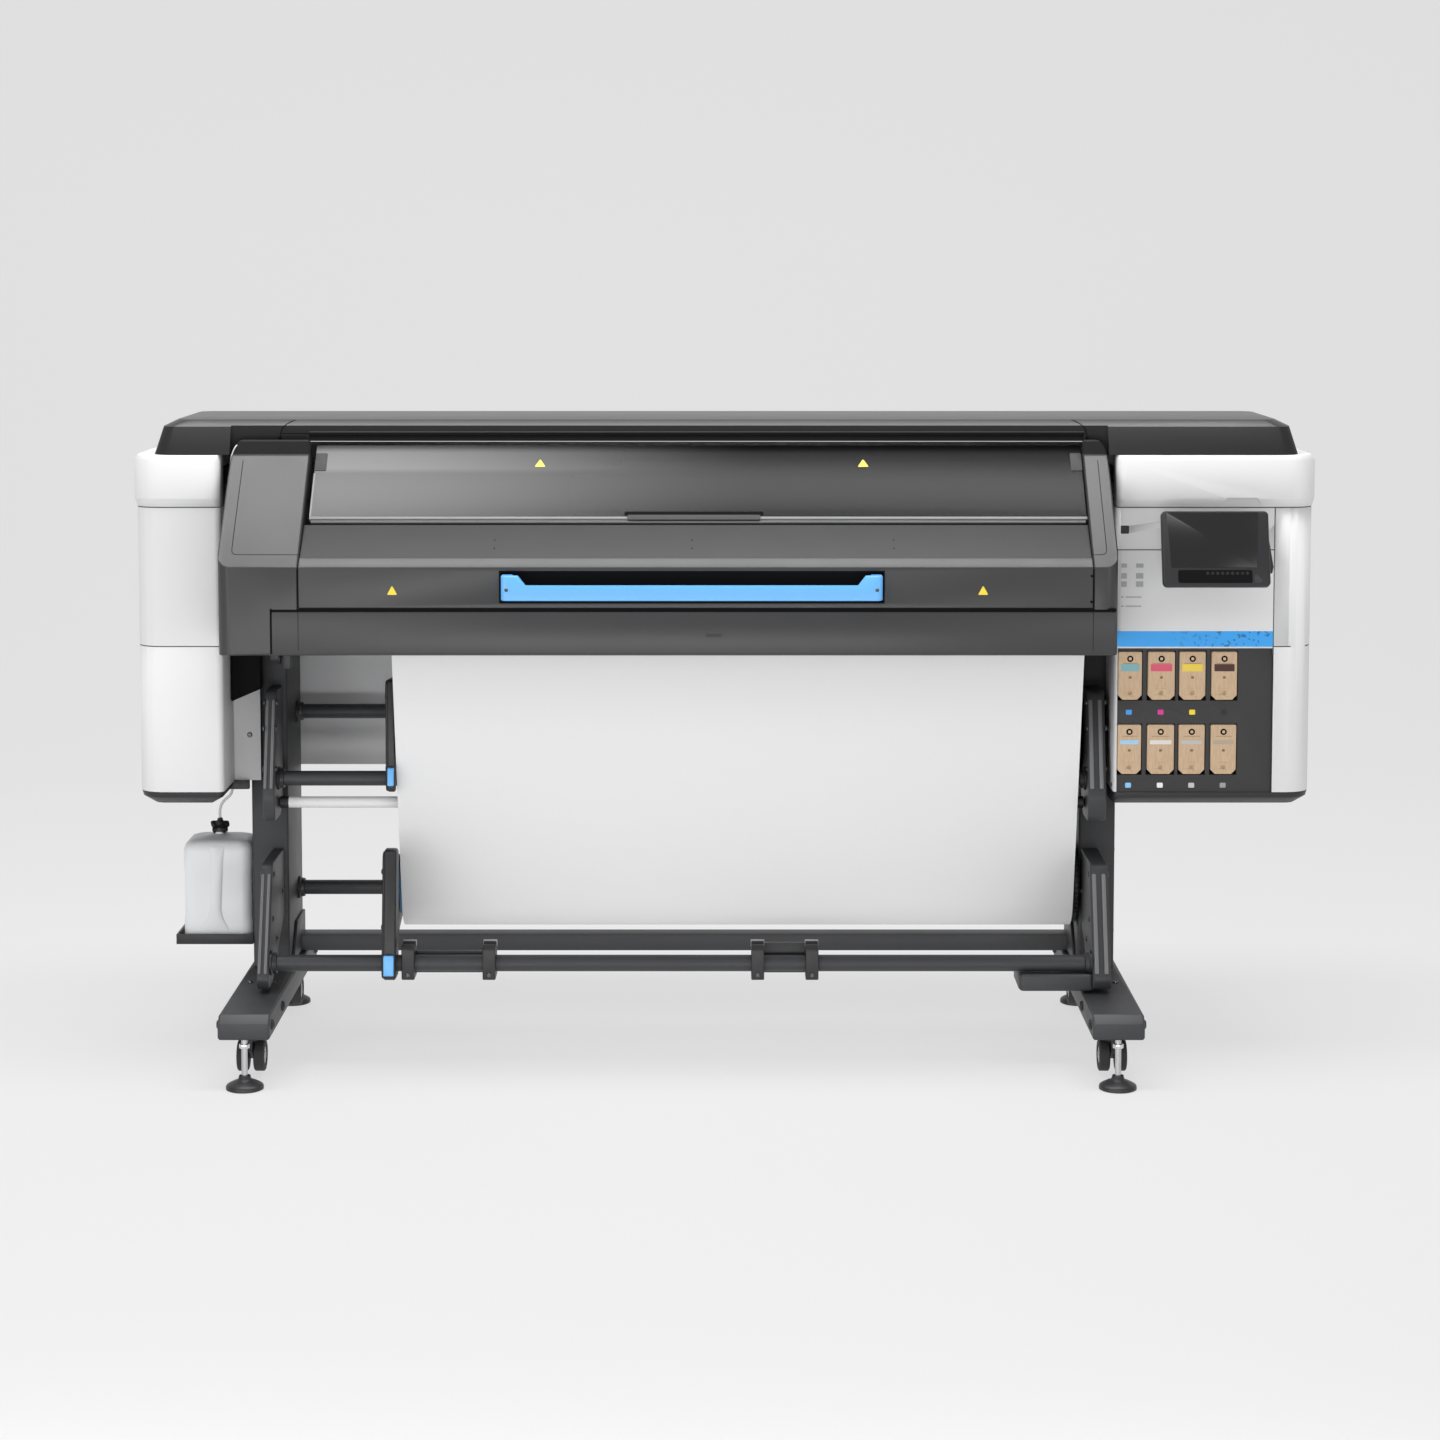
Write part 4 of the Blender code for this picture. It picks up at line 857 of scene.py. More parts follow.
def ring_groove(side, z, insets=(-0.010, 0.0022), height=SEAM):
    """A ring about a cabinet: a cutter for the gap between two panels or, set in, the gap's floor, painted
    dark grey as the shade in the gap.
    """
    plans = [cabinet_plan(*CABINETS[side], inset) for inset in insets]
    rows = [[(a, b, level) for a, b in plan] for plan, level in
            ((plans[0], z), (plans[0], z + height), (plans[1], z + height), (plans[1], z))]
    return loft(rows, closed=True)


def make_cabinets():
    levels = {"left": (0.9075, BAND_Z - 0.0008), "right": (BAND_Z - 0.0008,)}
    left_cuts = [ring_groove("left", z) for z in levels["left"]]
    skin("left_cabinet", "white", 0.0010, 35, cutters=left_cuts)
    front = CABINET_Y[0]
    edge = BAY_X[1]
    gaps = [((RIGHT_INNER_X - 0.004, edge), (1.1195, 1.1195 + SEAM)),
            ((edge - SEAM, edge), (0.890, BAND_Z)), ((edge, 1.40), (0.9075, 0.9075 + SEAM))]
    panel_seams = [
        ring_groove("right", BAND_Z - 0.0008),
        *[block(x, (front - 0.01, front + 0.0022), z) for x, z in gaps],
        block((1.27, 1.40), (-0.2, 0.5), (0.9075, 0.9075 + SEAM)),
        bevelled(prism([(1.080, BAND_Z - 0.003), (1.170, BAND_Z - 0.003), (1.158, 1.235), (1.092, 1.235)],
                       "Y", front - 0.02, front - 0.0006), 0.002),
        pad("Y", (0.862, 0.880), (1.156, 1.174), (front - 0.01, front + 0.003), 0.002),
    ]
    skin("right_cabinet", "white", 0.0010, 35, cutters=panel_seams)
    skin("left_base", "black", 0.0010, 35)
    skin("right_base", ["bay", "black"], 0.0006, 40, second=lambda face: face.center.z < 0.590)
    inner_walls = [block((-1.115, 0.895), (front + 0.03, 0.6), (0.85, 1.40))]
    # Dark grey floors set into the panel gaps: painted shade in the gaps.
    shade_floors = [cut(ring_groove(side, z + 0.0002, (0.0012, 0.0040), SEAM - 0.0004), inner_walls)
              for side, heights in levels.items() for z in heights]
    shade_floors += [block((max(x[0], RIGHT_INNER_X + 0.001) + 0.0002, min(x[1], SIDE_X - 0.05) - 0.0002),
                     (front + 0.0010, front + 0.0035), (z[0] + 0.0002, z[1] - 0.0002)) for x, z in gaps]
    piece("cabinet_gap_shade", gathered(shade_floors), "seam_grey")
    socket = [pad("Y", (0.862, 0.880), (1.156, 1.174), (front + 0.0010, front + 0.0028), 0.002),
              pad("Y", (0.865, 0.877), (1.160, 1.170), (front - 0.0002, front + 0.0015), 0.001)]
    piece("service_socket", gathered(socket), "black")
    x0, x1 = BAY_X[0] - 0.0045, 1.1960
    strip = prism([(x0, 0.9085), (x1, 0.9085), (x1, 0.9425), (x0, 0.9425)],
                  "Y", front - 0.0007, front + 0.001)
    piece("ink_bay_strip", strip, "strip")
    make_bay_marks()
    make_cartridge_trim()
    make_cabinet_hardware()


def make_bay_marks():
    """Plain grey squares and bars where the panel carries instructions, and the ink colours' dots."""
    front = CABINET_Y[0]
    marks = []
    for row, (z, high) in enumerate(((1.082, 0.009), (1.058, 0.012), (1.040, 0.012), (1.016, 0.003),
                                     (0.996, 0.003))):
        for x, wide in ((0.864, 0.012), (0.896, 0.016)) if row < 3 else ((0.864, 0.006), (0.874, 0.034)):
            marks.append(block((x, x + wide), (front - 0.0003, front + 0.0005), (z, z + high)))
    piece("panel_marks", gathered(marks), "grey_mark")
    plate = front + 0.006
    for z, colours in ((0.7635, ("ink_cyan", "ink_magenta", "ink_yellow", "ink_black")),
                       (0.6020, ("ink_light_cyan", "ink_white", "ink_clear", "ink_grey"))):
        for x, colour in zip((0.8845, 0.954, 1.023, 1.092), colours):
            dot = pad("Y", (x - 0.0065, x + 0.0065), (z - 0.0055, z + 0.0055),
                      (plate - 0.0006, plate + 0.001), 0.0022)
            piece(f"{colour}_dot", dot, colour)


CARTRIDGE_COLUMNS = ((0.858, 0.912), (0.925, 0.984), (0.994, 1.051), (1.064, 1.120))
CARTRIDGE_ROWS = ((0.791, 0.897), (0.627, 0.736))


def make_cartridge_trim():
    """Sleeves with a colour band, a round symbol, small marks and a finger hole each."""
    front = CABINET_Y[0] + 0.003
    proud = (front - 0.0003, front + 0.001)
    bands = ("band_teal", "band_red", "band_yellow", "band_brown",
             "band_light_blue", "band_white", "band_pale_grey", "band_grey")
    number = 0
    for z0, z1 in CARTRIDGE_ROWS:
        for x0, x1 in CARTRIDGE_COLUMNS:
            name = f"ink_cartridge_{number + 1}"
            x0 = max(x0, BAY_X[0] + 0.0015)
            mid = (x0 + x1) / 2
            pull = disc("Y", (mid, z0 + 0.016), 0.0045, (front - 0.01, front + 0.004), 24)
            slit = block((mid - 0.014, mid + 0.014), (front - 0.01, front + 0.0008),
                         (z0 + 0.0255, z0 + 0.0262))
            skin(name, "card", 0.0012, 35, cutters=[pull, slit])
            level = z1 - 0.043
            high = 0.016 if z0 > 0.7 else 0.009
            band = pad("Y", (x0 + 0.006, x1 - 0.006), (level, level + high), proud, 0.001)
            piece(name + "_band", band, bands[number], name)
            symbol = disc("Y", (mid, z1 - 0.0155), 0.0070, proud, 32)
            piece(name + "_symbol", symbol, "seam", name)
            leaf = pad("Y", (mid - 0.003, mid + 0.003), (z1 - 0.0185, z1 - 0.0125),
                       (front - 0.0005, front), 0.0015)
            piece(name + "_symbol_centre", leaf, "card_pale", name)
            marks = [block((mid - 0.003, mid + 0.003), proud, (level - 0.016, level - 0.011)),
                     block((x0 + 0.010, x1 - 0.010), proud, (z1 - 0.0257, z1 - 0.0249))]
            piece(name + "_marks", gathered(marks), "card_print", name)
            number += 1


def make_cabinet_hardware():
    """Screws, cooling slots and the mains inlet with its switch, mostly at the back."""
    rear = CABINET_Y[1]
    screws = [(x, z, rear) for x in (-1.215, -1.135, 0.930, 1.080, 1.215)
              for z in (0.625, 0.900, 1.190, 1.285)]
    screw_heads("cabinet_rear_screws", "Y", 1, screws, 0.0055)
    # The rear vents are near-black pads: painted shade in the slots.
    for side, x0, count in (("left", -1.205, 5), ("right", 1.010, 10)):
        slots = [pad("Y", (x, x + 0.006), (0.690 + row * 0.058, 0.740 + row * 0.058),
                     (rear - 0.0010, rear + 0.0006), 0.0029, 3)
                 for x in (x0 + k * 0.0145 for k in range(count)) for row in range(2)]
        piece(f"{side}_rear_vents", gathered(slots), "seam")
    inlet = pad("Y", (-1.205, -1.150), (0.612, 0.652), (rear - 0.001, rear + 0.0022), 0.004)
    piece("mains_inlet_plate", bevelled(inlet, 0.0008), "black")
    socket = pad("Y", (-1.196, -1.168), (0.621, 0.643), (rear + 0.0015, rear + 0.0026), 0.004)
    piece("mains_inlet_socket", socket, "seam")
    switch = pad("Y", (-1.164, -1.154), (0.620, 0.644), (rear + 0.0015, rear + 0.0052), 0.001)
    piece("mains_switch", bevelled(switch, 0.0008), "gloss_black")
    # A bracket under the hood's left end, in near-black: the part, and painted shade for the dark under the
    # hood's end.
    outline = [(-1.0945, 0.772), (-1.0945, 0.9140), (-1.0300, 0.9140), (-1.0300, 0.800)]
    piece("left_hood_bracket_shade", bevelled(prism(outline, "Y", 0.002, 0.046), 0.002), "seam")
    latch = [block((-1.004, -0.986), (-0.020, 0.030), (0.868, 0.906)),
             turned("X", (0.005, 0.872),
                    [(-0.992, 0.006), (-0.991, 0.017), (-0.984, 0.017), (-0.983, 0.012)], 32),
             block((-0.978, -0.962), (-0.004, 0.030), (0.846, 0.905))]
    piece("left_hood_latch", bevelled(gathered(latch), 0.0012), "black")
    screw_heads("recess_screw", "Y", -1, [(-1.0620, 0.690, 0.052)], 0.0060)
    screw_heads("inner_wall_screw", "X", -1, [(0.020, 0.600, 0.852), (-0.080, 0.600, 0.852)], 0.0045)
    places = [(x, y, 0.559) for x in (-1.23, -1.14, 0.93, 1.06, 1.22) for y in (-0.05, 0.33)]
    screw_heads("base_screws", "Z", -1, places, 0.0055)


# ---- touchscreen ----
SCREEN_X, SCREEN_SIZE, SCREEN_PIVOT = (0.940, 1.171), (0.166, 0.020), (-0.172, 1.118)
SCREEN_LEAN = math.radians(17)


def make_screen():
    height, thick = SCREEN_SIZE
    y, z = SCREEN_PIVOT
    mid_x, wide = sum(SCREEN_X) / 2, SCREEN_X[1] - SCREEN_X[0]
    plane = (Vector((y - 0.006, z + 0.009)), Vector((math.sin(SCREEN_LEAN), math.cos(SCREEN_LEAN))),
             Vector((-math.cos(SCREEN_LEAN), math.sin(SCREEN_LEAN))))

    def slab(x, a, b, corner, look, name, edge=0.0, **more):
        """A plate in the screen's own frame: a runs up it and b out of it, from its back."""
        flat = pad("Z", (x[0] - mid_x, x[1] - mid_x), (a[0] * height, a[1] * height), b, corner)
        piece(name, leaned(eased(flat, edge), plane, mid_x), look, "touchscreen", **more)

    slab(SCREEN_X, (-0.5, 0.5), (0.0, thick - 0.001), 0.010, "black", "touchscreen_case", 0.004,
         replaces=True)

    def panel(corners, b, look, name, edge=0.0):
        """As slab, but through corners given as fractions of the screen's width and height."""
        flat = prism(rounded(*[((a - 0.5) * wide, (c - 0.5) * height, 0.004) for a, c in corners], steps=4),
                     "Z", *b)
        piece(name, leaned(eased(flat, edge), plane, mid_x), look, "touchscreen")

    face = (thick - 0.0016, thick - 0.0002)
    panel([(0.080, 0.245), (0.880, 0.245), (0.905, 0.980), (0.045, 0.980)], face, "screen",
          "touchscreen_glass", 0.0003)
    panel([(0.140, 0.045), (0.830, 0.045), (0.830, 0.215), (0.140, 0.215)],
          (thick - 0.0012, thick - 0.0006), "seam", "touchscreen_chin")
    panel([(0.850, 0.050), (0.945, 0.050), (0.850, 0.200)], (thick - 0.0014, thick - 0.0008), "dark",
          "touchscreen_mitre")
    for k in range(9):
        a = 0.40 + k * 0.046
        panel([(a, 0.150), (a + 0.030, 0.150), (a + 0.030, 0.195), (a, 0.195)],
              (thick - 0.0010, thick - 0.0004), "black", f"touchscreen_slot_{k + 1}")
    ear = prism([(SCREEN_X[1] - 0.002, 1.160), (SCREEN_X[1] + 0.0105, 1.092), (SCREEN_X[1] + 0.0080, 1.078),
                 (SCREEN_X[1] - 0.002, 1.076)], "Y", y - 0.016, y + 0.000)
    piece("touchscreen_ear", bevelled(ear, 0.0012), "black", "touchscreen")
    barrel = rod("X", (y, z), 1.010, 1.102, 0.0205, 0.002, 0.0025, 48)
    piece("touchscreen_barrel", barrel, "black", "touchscreen")
    slab((SCREEN_X[0] + 0.030, SCREEN_X[1] - 0.030), (-0.38, 0.38), (-0.003, 0.002), 0.010, "dark",
         "touchscreen_back", 0.001)


# ---- covers ----
TOP_Z = 1.402
COVER_SEAMS, COVER_FACE_Y = (-0.9700, 0.7910), -0.0640
HOOD_LEFT_X, HOOD_RIGHT_X = (-1.0756, -0.9032), (0.7802, 0.8349)
HOOD_FRONT_Y, HOOD_BOTTOM_Z, SPLIT_Z = -0.310, 0.915, 1.0136


def make_covers():
    # The top cover's faces that look up take the dark cover plastic; its other faces take the darker, duller
    # copy: painted shade.
    skin("top_cover", ["top", "dark"], 0.0012, 25, 3, second=lambda face: face.normal.z > 0.6)
    lines = []
    face = COVER_FACE_Y - 0.0004
    for x, side in zip(COVER_SEAMS, (1, -1)):
        route = [(x + side * a, y, z) for a, y, z in (
            (0.0, face, 1.3610), (0.001, face, 1.3720), (0.004, face, 1.3810), (0.009, face, 1.3880),
            (0.018, -0.0585, 1.3945), (0.030, -0.0520, 1.4000), (0.040, -0.0470, 1.4009),
            (0.040, 0.2900, 1.4009))]
        lines.append(thread(smooth_line(route[:-1]) + route[-1:], 0.0010))
        lines.append(disc("Y", (x, 1.3615), 0.0036, (face - 0.0004, face + 0.003), 20))
    lines.append(block((COVER_SEAMS[0] + 0.004, COVER_SEAMS[1] - 0.004), (face, face + 0.002),
                       (1.3712, 1.3730)))
    piece("top_cover_seams", gathered(lines), "seam")
    lip = block((HOOD_LEFT_X[1] - 0.004, HOOD_RIGHT_X[0] + 0.004), (face - 0.0006, face + 0.002),
                (1.3745, 1.3765))
    piece("top_cover_ledge", bevelled(lip, 0.0006), "hinge")
    screws = [(x, y, TOP_Z - 0.0029) for x in (-1.14, -0.93, 0.75, 1.14) for y in (0.02, 0.27)]
    screw_heads("top_cover_screws", "Z", 1, screws, 0.005)
    skin("rear_cover", "grey", 0.0005, 35)
    rear = 0.375
    screws = [(x, z, rear) for x in (-1.08, -0.72, -0.36, 0.0, 0.36, 0.72, 0.862) for z in (0.925, 1.300)]
    screw_heads("rear_cover_screws", "Y", 1, screws, 0.0055)
    low_screws = [(x, z, 0.319) for x in (-1.08, -0.54, 0.0, 0.54, 0.862) for z in (0.600, 0.735)]
    screw_heads("rear_cover_low_screws", "Y", 1, low_screws, 0.0055)
    # The rear cover's vents are near-black pads: painted shade in the slots.
    vents = [pad("Y", (x0 + k * 0.016, x0 + k * 0.016 + 0.006), (1.18, 1.24), (rear - 0.001, rear + 0.0006),
                 0.0029, 3) for x0 in (-0.80, 0.40) for k in range(14)]
    piece("rear_cover_vents", gathered(vents), "seam")
    seams = [block((x, x + 0.0014), (rear - 0.001, rear + 0.0005), (0.902, 1.3265)) for x in (-0.54, 0.18)]
    piece("rear_cover_seams", gathered(seams), "seam")


# ---- hood ----
SLOPE = ((-0.310, 1.103), (-0.0857, 1.3265))


def make_hood():
    # Faces above the slope's top take the darker, duller copy of the cover plastic: painted shade that dims
    # the highlight along the frame's top edge.
    skin("hood_frame", ["dark", "top"], 0.0015, 35, 3,
         second=lambda face: face.center.z > SLOPE[1][1] + 0.0005)
    # painted highlight along the left cheek's upper edge, drawn as a thin white line
    trim = [(HOOD_LEFT_X[0] + 0.026 * (1 - math.cos(t)) - 0.0006, -0.0862, 1.301 + 0.052 * math.sin(t))
            for t in spread(0.10, 1.15, 9)]
    piece("hood_left_painted_highlight", thread(trim, 0.0014), "tube")
    plane, length = leaning(*SLOPE), math.dist(*SLOPE)

    def line(points, name):
        """A thin dark line on the slope, through (x, distance up the slope) points."""
        strips = []
        for (xa, a), (xb, b) in zip(points, points[1:]):
            across = Vector((-(b - a), xb - xa)).normalized() * 0.0007
            corners = [(xa - across.x, a - across.y), (xb - across.x, b - across.y),
                       (xb + across.x, b + across.y), (xa + across.x, a + across.y)]
            strips.append(leaned(prism(corners, "Z", -0.0004, 0.0002), plane))
        piece(name, gathered(strips), "seam")

    for side, outer, inner, name in ((1, *HOOD_LEFT_X, "hood_left_line"),
                                     (-1, *reversed(HOOD_RIGHT_X), "hood_right_line")):
        x = outer + side * (0.029 if side > 0 else 0.024)
        line([(x, length - 0.016), (x, 0.050), (x + side * 0.001, 0.043), (x + side * 0.005, 0.037),
              (x + side * 0.012, 0.035), (inner - side * 0.001, 0.035)], name)
    skin("lower_apron", "dark", 0.0008, 35)
    front = HOOD_FRONT_Y
    proud = (front - 0.0003, front + 0.001)
    span = (-0.9625, HOOD_RIGHT_X[1] - 0.006)
    # Near-black plate behind the split line, with strips proud on the apron and at the left joint: painted
    # shade that thickens the gap's dark line.
    gap = [block(span, (front + 0.0006, front + 0.0060), (1.0100, 1.0156)),
           block(span, (front - 0.0003, front + 0.0020), (1.0085, 1.0106)),
           block((-0.9628, -0.9585), (front - 0.0003, front + 0.0010), (HOOD_BOTTOM_Z + 0.004, 1.0156))]
    piece("apron_gap_shade", gathered(gap), "seam")
    shade_line = block((HOOD_LEFT_X[1] + 0.002, HOOD_RIGHT_X[0] - 0.002), (front - 0.0003, front + 0.0020),
                       (1.0154, 1.0166))
    piece("table_shade_line", shade_line, "seam", "loading_table")
    mark = pad("Y", (-0.040, -0.006), (0.955, 0.962), proud, 0.001)
    piece("apron_mark", mark, "black")
    edges = (HOOD_LEFT_X[1], HOOD_RIGHT_X[0])
    vertical = [block((x - 0.0006, x + 0.0006), proud, (SPLIT_Z + 0.003, 1.100))
                for x in edges]
    vertical += [block((x - 0.0005, x + 0.0005), (front - 0.0002, front + 0.001), (0.925, 1.0095))
                 for x in edges]
    piece("hood_joint_lines", gathered(vertical), "seam")
    screws = [(0.776, z, front) for z in (1.085, 1.030)]
    screw_heads("hood_front_screws", "Y", -1, screws, 0.0028, "seam")
    make_window()
    make_loading_table()


def triangle(a, b, size):
    return rounded((a - size / 2, b, 0.0015), (a + size / 2, b, 0.0015), (a, b + size * 0.9, 0.0015))


WINDOW_X, WINDOW_TOP, WINDOW_BOTTOM = (-0.892, 0.779), (-0.050, 1.346), (-0.200, 1.195)


def make_window():
    """The smoked sheet with its bottom rail, grip slot and plain triangular marks."""
    skin("window", "glass", 0.0008)
    plane = leaning(WINDOW_BOTTOM, WINDOW_TOP)

    def on_window(x, a, b, corner, look, name, edge=0.0):
        piece(name, leaned(eased(pad("Z", x, a, b, corner), edge), plane), look, "window")

    low, high = WINDOW_X
    on_window((low, high), (0.0005, 0.0085), (-0.007, 0.0010), 0.002, "rail", "window_rail", 0.0008)
    on_window((low, low + 0.004), (0.0085, 0.130), (-0.0065, 0.0007), 0.001, "rail", "window_left_rail")
    for name, x in (("left", (low + 0.001, low + 0.026)), ("right", (high - 0.026, high - 0.001))):
        on_window(x, (0.138, 0.188), (-0.009, 0.0016), 0.003, "hinge", f"window_{name}_hinge", 0.0008)
    on_window((low + 0.004, high - 0.004), (-0.0085, 0.0007), (-0.0090, -0.0010), 0.002, "dark",
              "window_lip", 0.0006)
    # The grip slot is a near-black pad: painted shade in the slot.
    on_window((-0.215, 0.083), (0.0110, 0.0215), (-0.0064, 0.0014), 0.004, "seam", "window_grip_slot")
    on_window((-0.209, 0.077), (-0.0015, 0.0120), (-0.001, 0.0026), 0.004, "hinge", "window_grip_lip",
              0.0006)
    for name, x in (("left", -0.4015), ("right", 0.3015)):
        mark = leaned(prism(triangle(x, 0.150, 0.024), "Z", -0.0002, 0.0003), plane)
        piece(f"window_{name}_mark", mark, "yellow", "window")


HANDLE_X, HANDLE_Z = (-0.472, 0.333), (1.035, 1.088)


def make_handle():
    """A bar with two ends that reach back to the table, dipped between them for the fingers."""
    (x0, x1), (z0, z1), front = HANDLE_X, HANDLE_Z, HOOD_FRONT_Y
    plan = rounded((x0, front - 0.032, 0.012), (x1, front - 0.032, 0.012), (x1, front + 0.0095, 0),
                   (x1 - 0.024, front + 0.0095, 0), (x1 - 0.026, front - 0.016, 0.010),
                   (x0 + 0.026, front - 0.016, 0.010), (x0 + 0.024, front + 0.0095, 0),
                   (x0, front + 0.0095, 0))
    dip, high = z0 + 0.032, z1 + 0.010
    above = prism([(x0 + 0.052, dip), (x1 - 0.052, dip), (x1 - 0.028, high), (x0 + 0.028, high)],
                  "Y", -0.5, -0.2)
    bar = cut(bevelled(prism(plan, "Z", z0, z1), 0.003, 40, 3), [above])
    piece("front_handle_skin", bevelled(bar, 0.0012, 50, 2), "blue", "front_handle", True)


def make_loading_table():
    table = "loading_table"
    front = HOOD_FRONT_Y
    low, high = HANDLE_X[0] - 0.002, HANDLE_X[1] + 0.002

    def in_recess(face):
        return front + 0.001 < face.center.y < front + 0.0102 and low < face.center.x < high \
            and 1.028 < face.center.z < 1.094

    # The recess's back faces take the near-black seam shadow: painted shade.
    skin("loading_table", ["dark", "seam"], 0.0008, 40, second=in_recess)
    # A near-black frame round the handle's recess: painted shade at its edges.
    recess_shade_frame = cut(block((HANDLE_X[0] - 0.0055, HANDLE_X[1] + 0.0055), (front - 0.0003, front + 0.004),
                           (1.0265, 1.0960)),
                     [block((HANDLE_X[0] - 0.0029, HANDLE_X[1] + 0.0029), (front - 0.01, front + 0.01),
                            (1.0291, 1.0929))])
    piece("handle_recess_shade", recess_shade_frame, "seam", table)
    make_handle()
    for name, x in (("left", -0.7035), ("right", 0.5465)):
        mark = prism(triangle(x, 1.045, 0.022), "Y", front - 0.0004, front + 0.001)
        piece(f"table_{name}_mark", mark, "yellow", table)
    slope = leaning((-0.2860, 1.1200), (-0.2070, 1.1850))
    dots = [leaned(pad("Z", (x - 0.0015, x + 0.0015), (a - 0.0015, a + 0.0015), (-0.0003, 0.0003), 0.001),
                   slope) for x in (-0.49, -0.07, 0.36) for a in (0.030, 0.055)]
    piece("table_slope_screws", gathered(dots), "seam", table)
    ends = [(HANDLE_X[0] + 0.012, 1.0585, front - 0.0319), (HANDLE_X[1] - 0.012, 1.0585, front - 0.0319)]
    screw_heads("front_handle_screws", "Y", -1, ends, 0.0040, node=table)


# ---- waste bottle ----
BOTTLE_X, BOTTLE_Y, BOTTLE_Z = (-1.223, -1.0665), (0.080, 0.215), (0.2335, 0.450)
CAP_CENTRE, CAP_RADIUS = (-1.147, 0.150), 0.022


def make_bottle():
    """A blow-moulded bottle with rounded shoulders, a moulded panel and a star-shaped cap."""
    skin("bottle_tray", "black", 0.0006)
    (x0, x1), (y0, y1), (_, z1) = BOTTLE_X, BOTTLE_Y, BOTTLE_Z
    cx, cy = CAP_CENTRE
    rings = []
    for grow, z, top in (
        (0.016, 0.2156, 0), (0.008, 0.2160, 0), (0.003, 0.2185, 0), (0.0008, 0.224, 0), (0.0008, 0.262, 0),
        (0.0022, 0.266, 0), (0.0022, 0.372, 0), (0.0008, 0.376, 0), (0.0008, z1 - 0.031, 0),
        (0.0020, z1 - 0.024, 0), (0.0050, z1 - 0.016, 0), (0.0095, z1 - 0.0100, 0.03),
        (0.0100, z1 - 0.0072, 0.20), (0.0100, z1 - 0.0050, 0.50), (0.009, z1 - 0.0030, 0.85),
        (0.009, z1, 1.0),
    ):
        half_x, half_y = (x1 - x0) / 2 - grow, (y1 - y0) / 2 - grow
        half_x, half_y = half_x + (0.018 - half_x) * top, half_y + (0.018 - half_y) * top
        mx, my = (x0 + x1) / 2 + (cx - (x0 + x1) / 2) * top, (y0 + y1) / 2 + (cy - (y0 + y1) / 2) * top
        soft = min(0.024, half_x * 0.95, half_y * 0.95)
        plan = rounded((mx - half_x, my - half_y, soft), (mx + half_x, my - half_y, soft),
                       (mx + half_x, my + half_y, soft), (mx - half_x, my + half_y, soft), steps=9)
        rings.append([(a, b, z) for a, b in plan])
    piece("waste_bottle_body", loft(rings), "bottle", "waste_bottle", True, 50).data.shade_smooth()
    neck = turned("Z", CAP_CENTRE, [(z1 - 0.012, 0.015), (z1 + 0.002, 0.015), (z1 + 0.002, 0.0165),
                                    (z1 + 0.0045, 0.0165)], 40)
    piece("waste_bottle_neck", neck, "bottle")
    make_bottle_channel()
    lobes, lean = 5, Matrix.Rotation(math.radians(38), 3, "X")
    star = []
    for k in range(lobes * 12):
        t = 2 * math.pi * k / (lobes * 12) + math.pi / 2
        reach = CAP_RADIUS * (0.80 + 0.20 * math.cos(lobes * (t - math.pi / 2)))
        star.append((reach * math.cos(t), reach * math.sin(t)))
    cap = bevelled(prism(star, "Z", -0.006, 0.008), 0.002, 40, 3)
    for vertex in cap.vertices:
        vertex.co = lean @ vertex.co + Vector((cx, cy - 0.002, z1 + 0.016))
    piece("waste_bottle_cap", cap, "black")
    collar = turned("Z", CAP_CENTRE, [(z1 + 0.0042, 0.0165), (z1 + 0.0050, 0.0180), (z1 + 0.013, 0.0175),
                                      (z1 + 0.018, 0.012), (z1 + 0.026, 0.010)], 32)
    piece("waste_bottle_collar", collar, "black")
    spout = turned("Z", CAP_CENTRE, [(z1 + 0.024, 0.010), (z1 + 0.027, 0.0085), (z1 + 0.030, 0.0058),
                                     (z1 + 0.0338, 0.0052)], 32)
    piece("waste_bottle_spout", spout, "black")
    gland = turned("Z", (-1.1175, 0.150), [(0.5592, 0.0045), (0.5588, 0.0095), (0.5555, 0.0095),
                                          (0.5540, 0.0060)], 32)
    piece("drain_gland", gland, "black")


def make_bottle_channel():
    """The moulded ridge down the bottle's front, flared at its foot."""
    y = BOTTLE_Y[0] + 0.0022
    rings = []
    for z, wide, deep, lean in ((0.2365, 0.036, 0.0030, -0.004), (0.250, 0.031, 0.0045, -0.004),
                                (0.268, 0.018, 0.0060, -0.003), (0.285, 0.013, 0.0065, -0.002),
                                (0.340, 0.0135, 0.0065, 0.0), (0.395, 0.0150, 0.0060, 0.002),
                                (0.420, 0.0170, 0.0040, 0.003), (0.430, 0.0165, 0.0005, 0.003)):
        ring = [(CAP_CENTRE[0] + lean + wide * math.cos(t), y - deep * math.sin(t), z)
                for t in spread(0, math.pi, 13)]
        rings.append(ring + [(CAP_CENTRE[0] + lean, y + 0.004, z)])
    piece("waste_bottle_channel", loft(rings), "bottle").data.shade_smooth()


# ---- stage ----
FLOOR_GREY, FLOOR_GLOW = 0.18, 0.60
FLOOR_FRONT_Y, FLOOR_BACK_Y, SWEEP_RADIUS, STAGE_HALF_WIDTH, STAGE_HEIGHT = -9.0, 3.2, 1.8, 14.0, 9.0


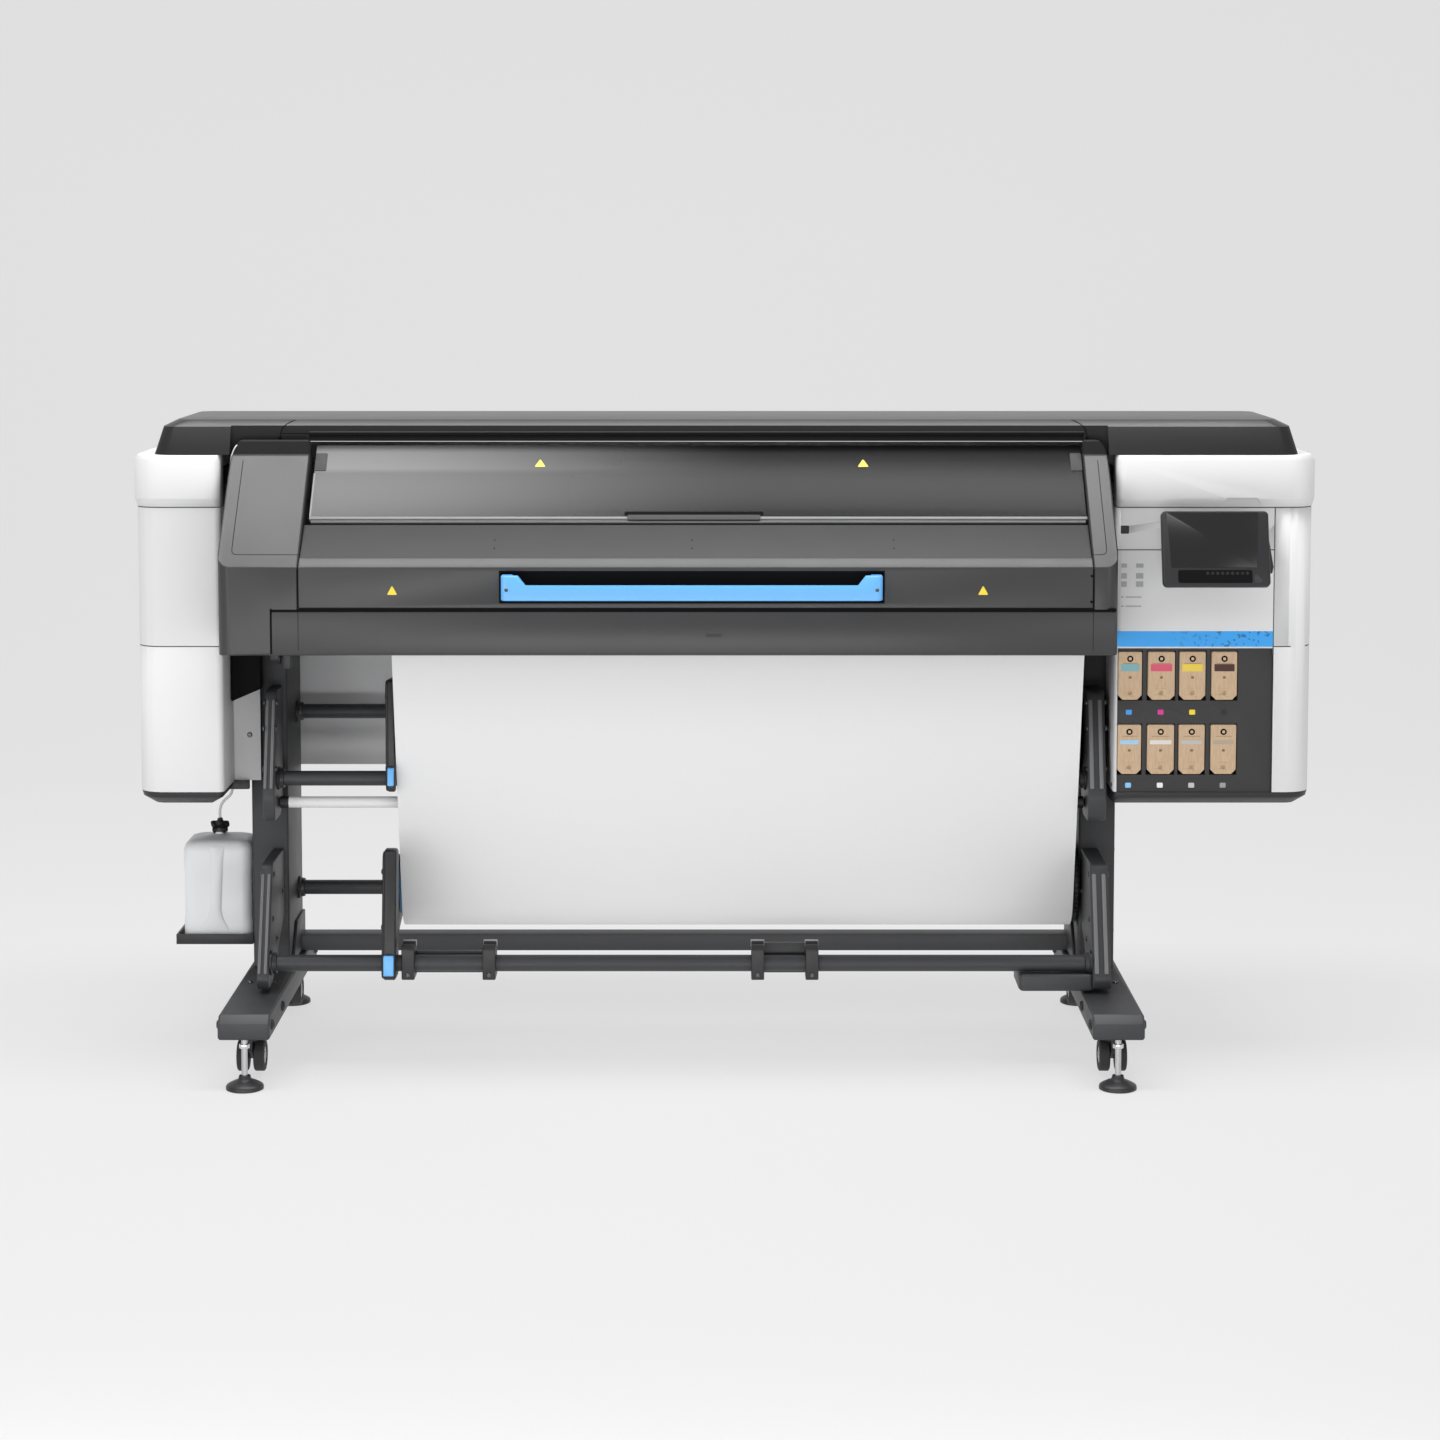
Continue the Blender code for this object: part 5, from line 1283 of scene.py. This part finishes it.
def make_stage():
    """A pale floor that sweeps up into a backdrop, behind and around the machine. It glows a little,
    which gives the even, pale background."""
    points = [(FLOOR_FRONT_Y, 0.0), (FLOOR_BACK_Y, 0.0)]
    points += [(FLOOR_BACK_Y + SWEEP_RADIUS * math.sin(t), SWEEP_RADIUS - SWEEP_RADIUS * math.cos(t))
               for t in spread(0.1, math.pi / 2, 12)]
    points.append((FLOOR_BACK_Y + SWEEP_RADIUS, STAGE_HEIGHT))
    shape = bmesh.new()
    rows = [[shape.verts.new((x, y, z)) for x in (-STAGE_HALF_WIDTH, STAGE_HALF_WIDTH)] for y, z in points]
    for one, two in zip(rows, rows[1:]):
        shape.faces.new((one[0], one[1], two[1], two[0]))
    mesh = bpy.data.meshes.new("sweep")
    shape.to_mesh(mesh)
    shape.free()
    mesh.shade_smooth()
    floor, _, shader = new_material("studio_floor", (FLOOR_GREY,) * 3, 0.9)
    shader.inputs["Emission Color"].default_value = (1, 1, 1, 1)
    shader.inputs["Emission Strength"].default_value = FLOOR_GLOW
    mesh.materials.append(floor)
    made = bpy.data.objects.new("studio_sweep", mesh)
    scene.collection.objects.link(made)


LIGHTS = (  # name, place, what it faces, size and power
    ("overhead", (-0.25, -0.52, 4.2), (-0.25, -0.52, 0.0), (5.0, 1.0), 158),
    ("front_fill", (-1.2, -6.0, 5.4), (0.0, 0.0, 0.8), (5.0, 2.0), 70),
    ("left_side", (-5.0, -3.0, 2.6), (-0.6, 0.0, 0.8), (3.0, 3.0), 10),
    ("right_side", (5.0, -3.0, 2.6), (0.6, 0.0, 0.8), (3.0, 3.0), 6),
    ("low_left", (-3.6, -4.6, 1.1), (0.0, 0.0, 0.6), (2.4, 1.8), 34),
    ("low_right", (3.8, -4.6, 1.1), (0.0, 0.0, 0.6), (2.4, 1.8), 22),
    ("low_front", (-0.4, -2.75, 0.04), (-0.3, 0.0, 0.85), (3.2, 0.6), 34),
)
WORLD_STRENGTH = 0.40


def area_light(name, place, aim, size, power):
    data = bpy.data.lights.new(name, "AREA")
    data.shape, data.size, data.size_y = "RECTANGLE", *size
    data.energy = power
    made = bpy.data.objects.new(name, data)
    scene.collection.objects.link(made)
    made.location = place
    made.rotation_euler = (Vector(aim) - Vector(place)).to_track_quat("-Z", "Y").to_euler()
    made.visible_camera = False


def make_lights():
    world = bpy.data.worlds.new("studio")
    world.use_nodes = True
    background = world.node_tree.nodes["Background"]
    background.inputs["Color"].default_value = (1, 1, 1, 1)
    background.inputs["Strength"].default_value = WORLD_STRENGTH
    scene.world = world
    for each in LIGHTS:
        area_light(*each)
    scene.view_settings.view_transform = "Standard"
    scene.view_settings.look = "None"


def main():
    make_camera()
    LOOKS.update(make_looks())
    make_hose()
    make_web()
    make_rolls()
    make_hubs()
    make_stand()
    make_feet()
    make_casters()
    make_rail_fittings()
    make_print_zone()
    make_cabinets()
    make_screen()
    make_covers()
    make_hood()
    make_bottle()
    make_stage()
    make_lights()


main()
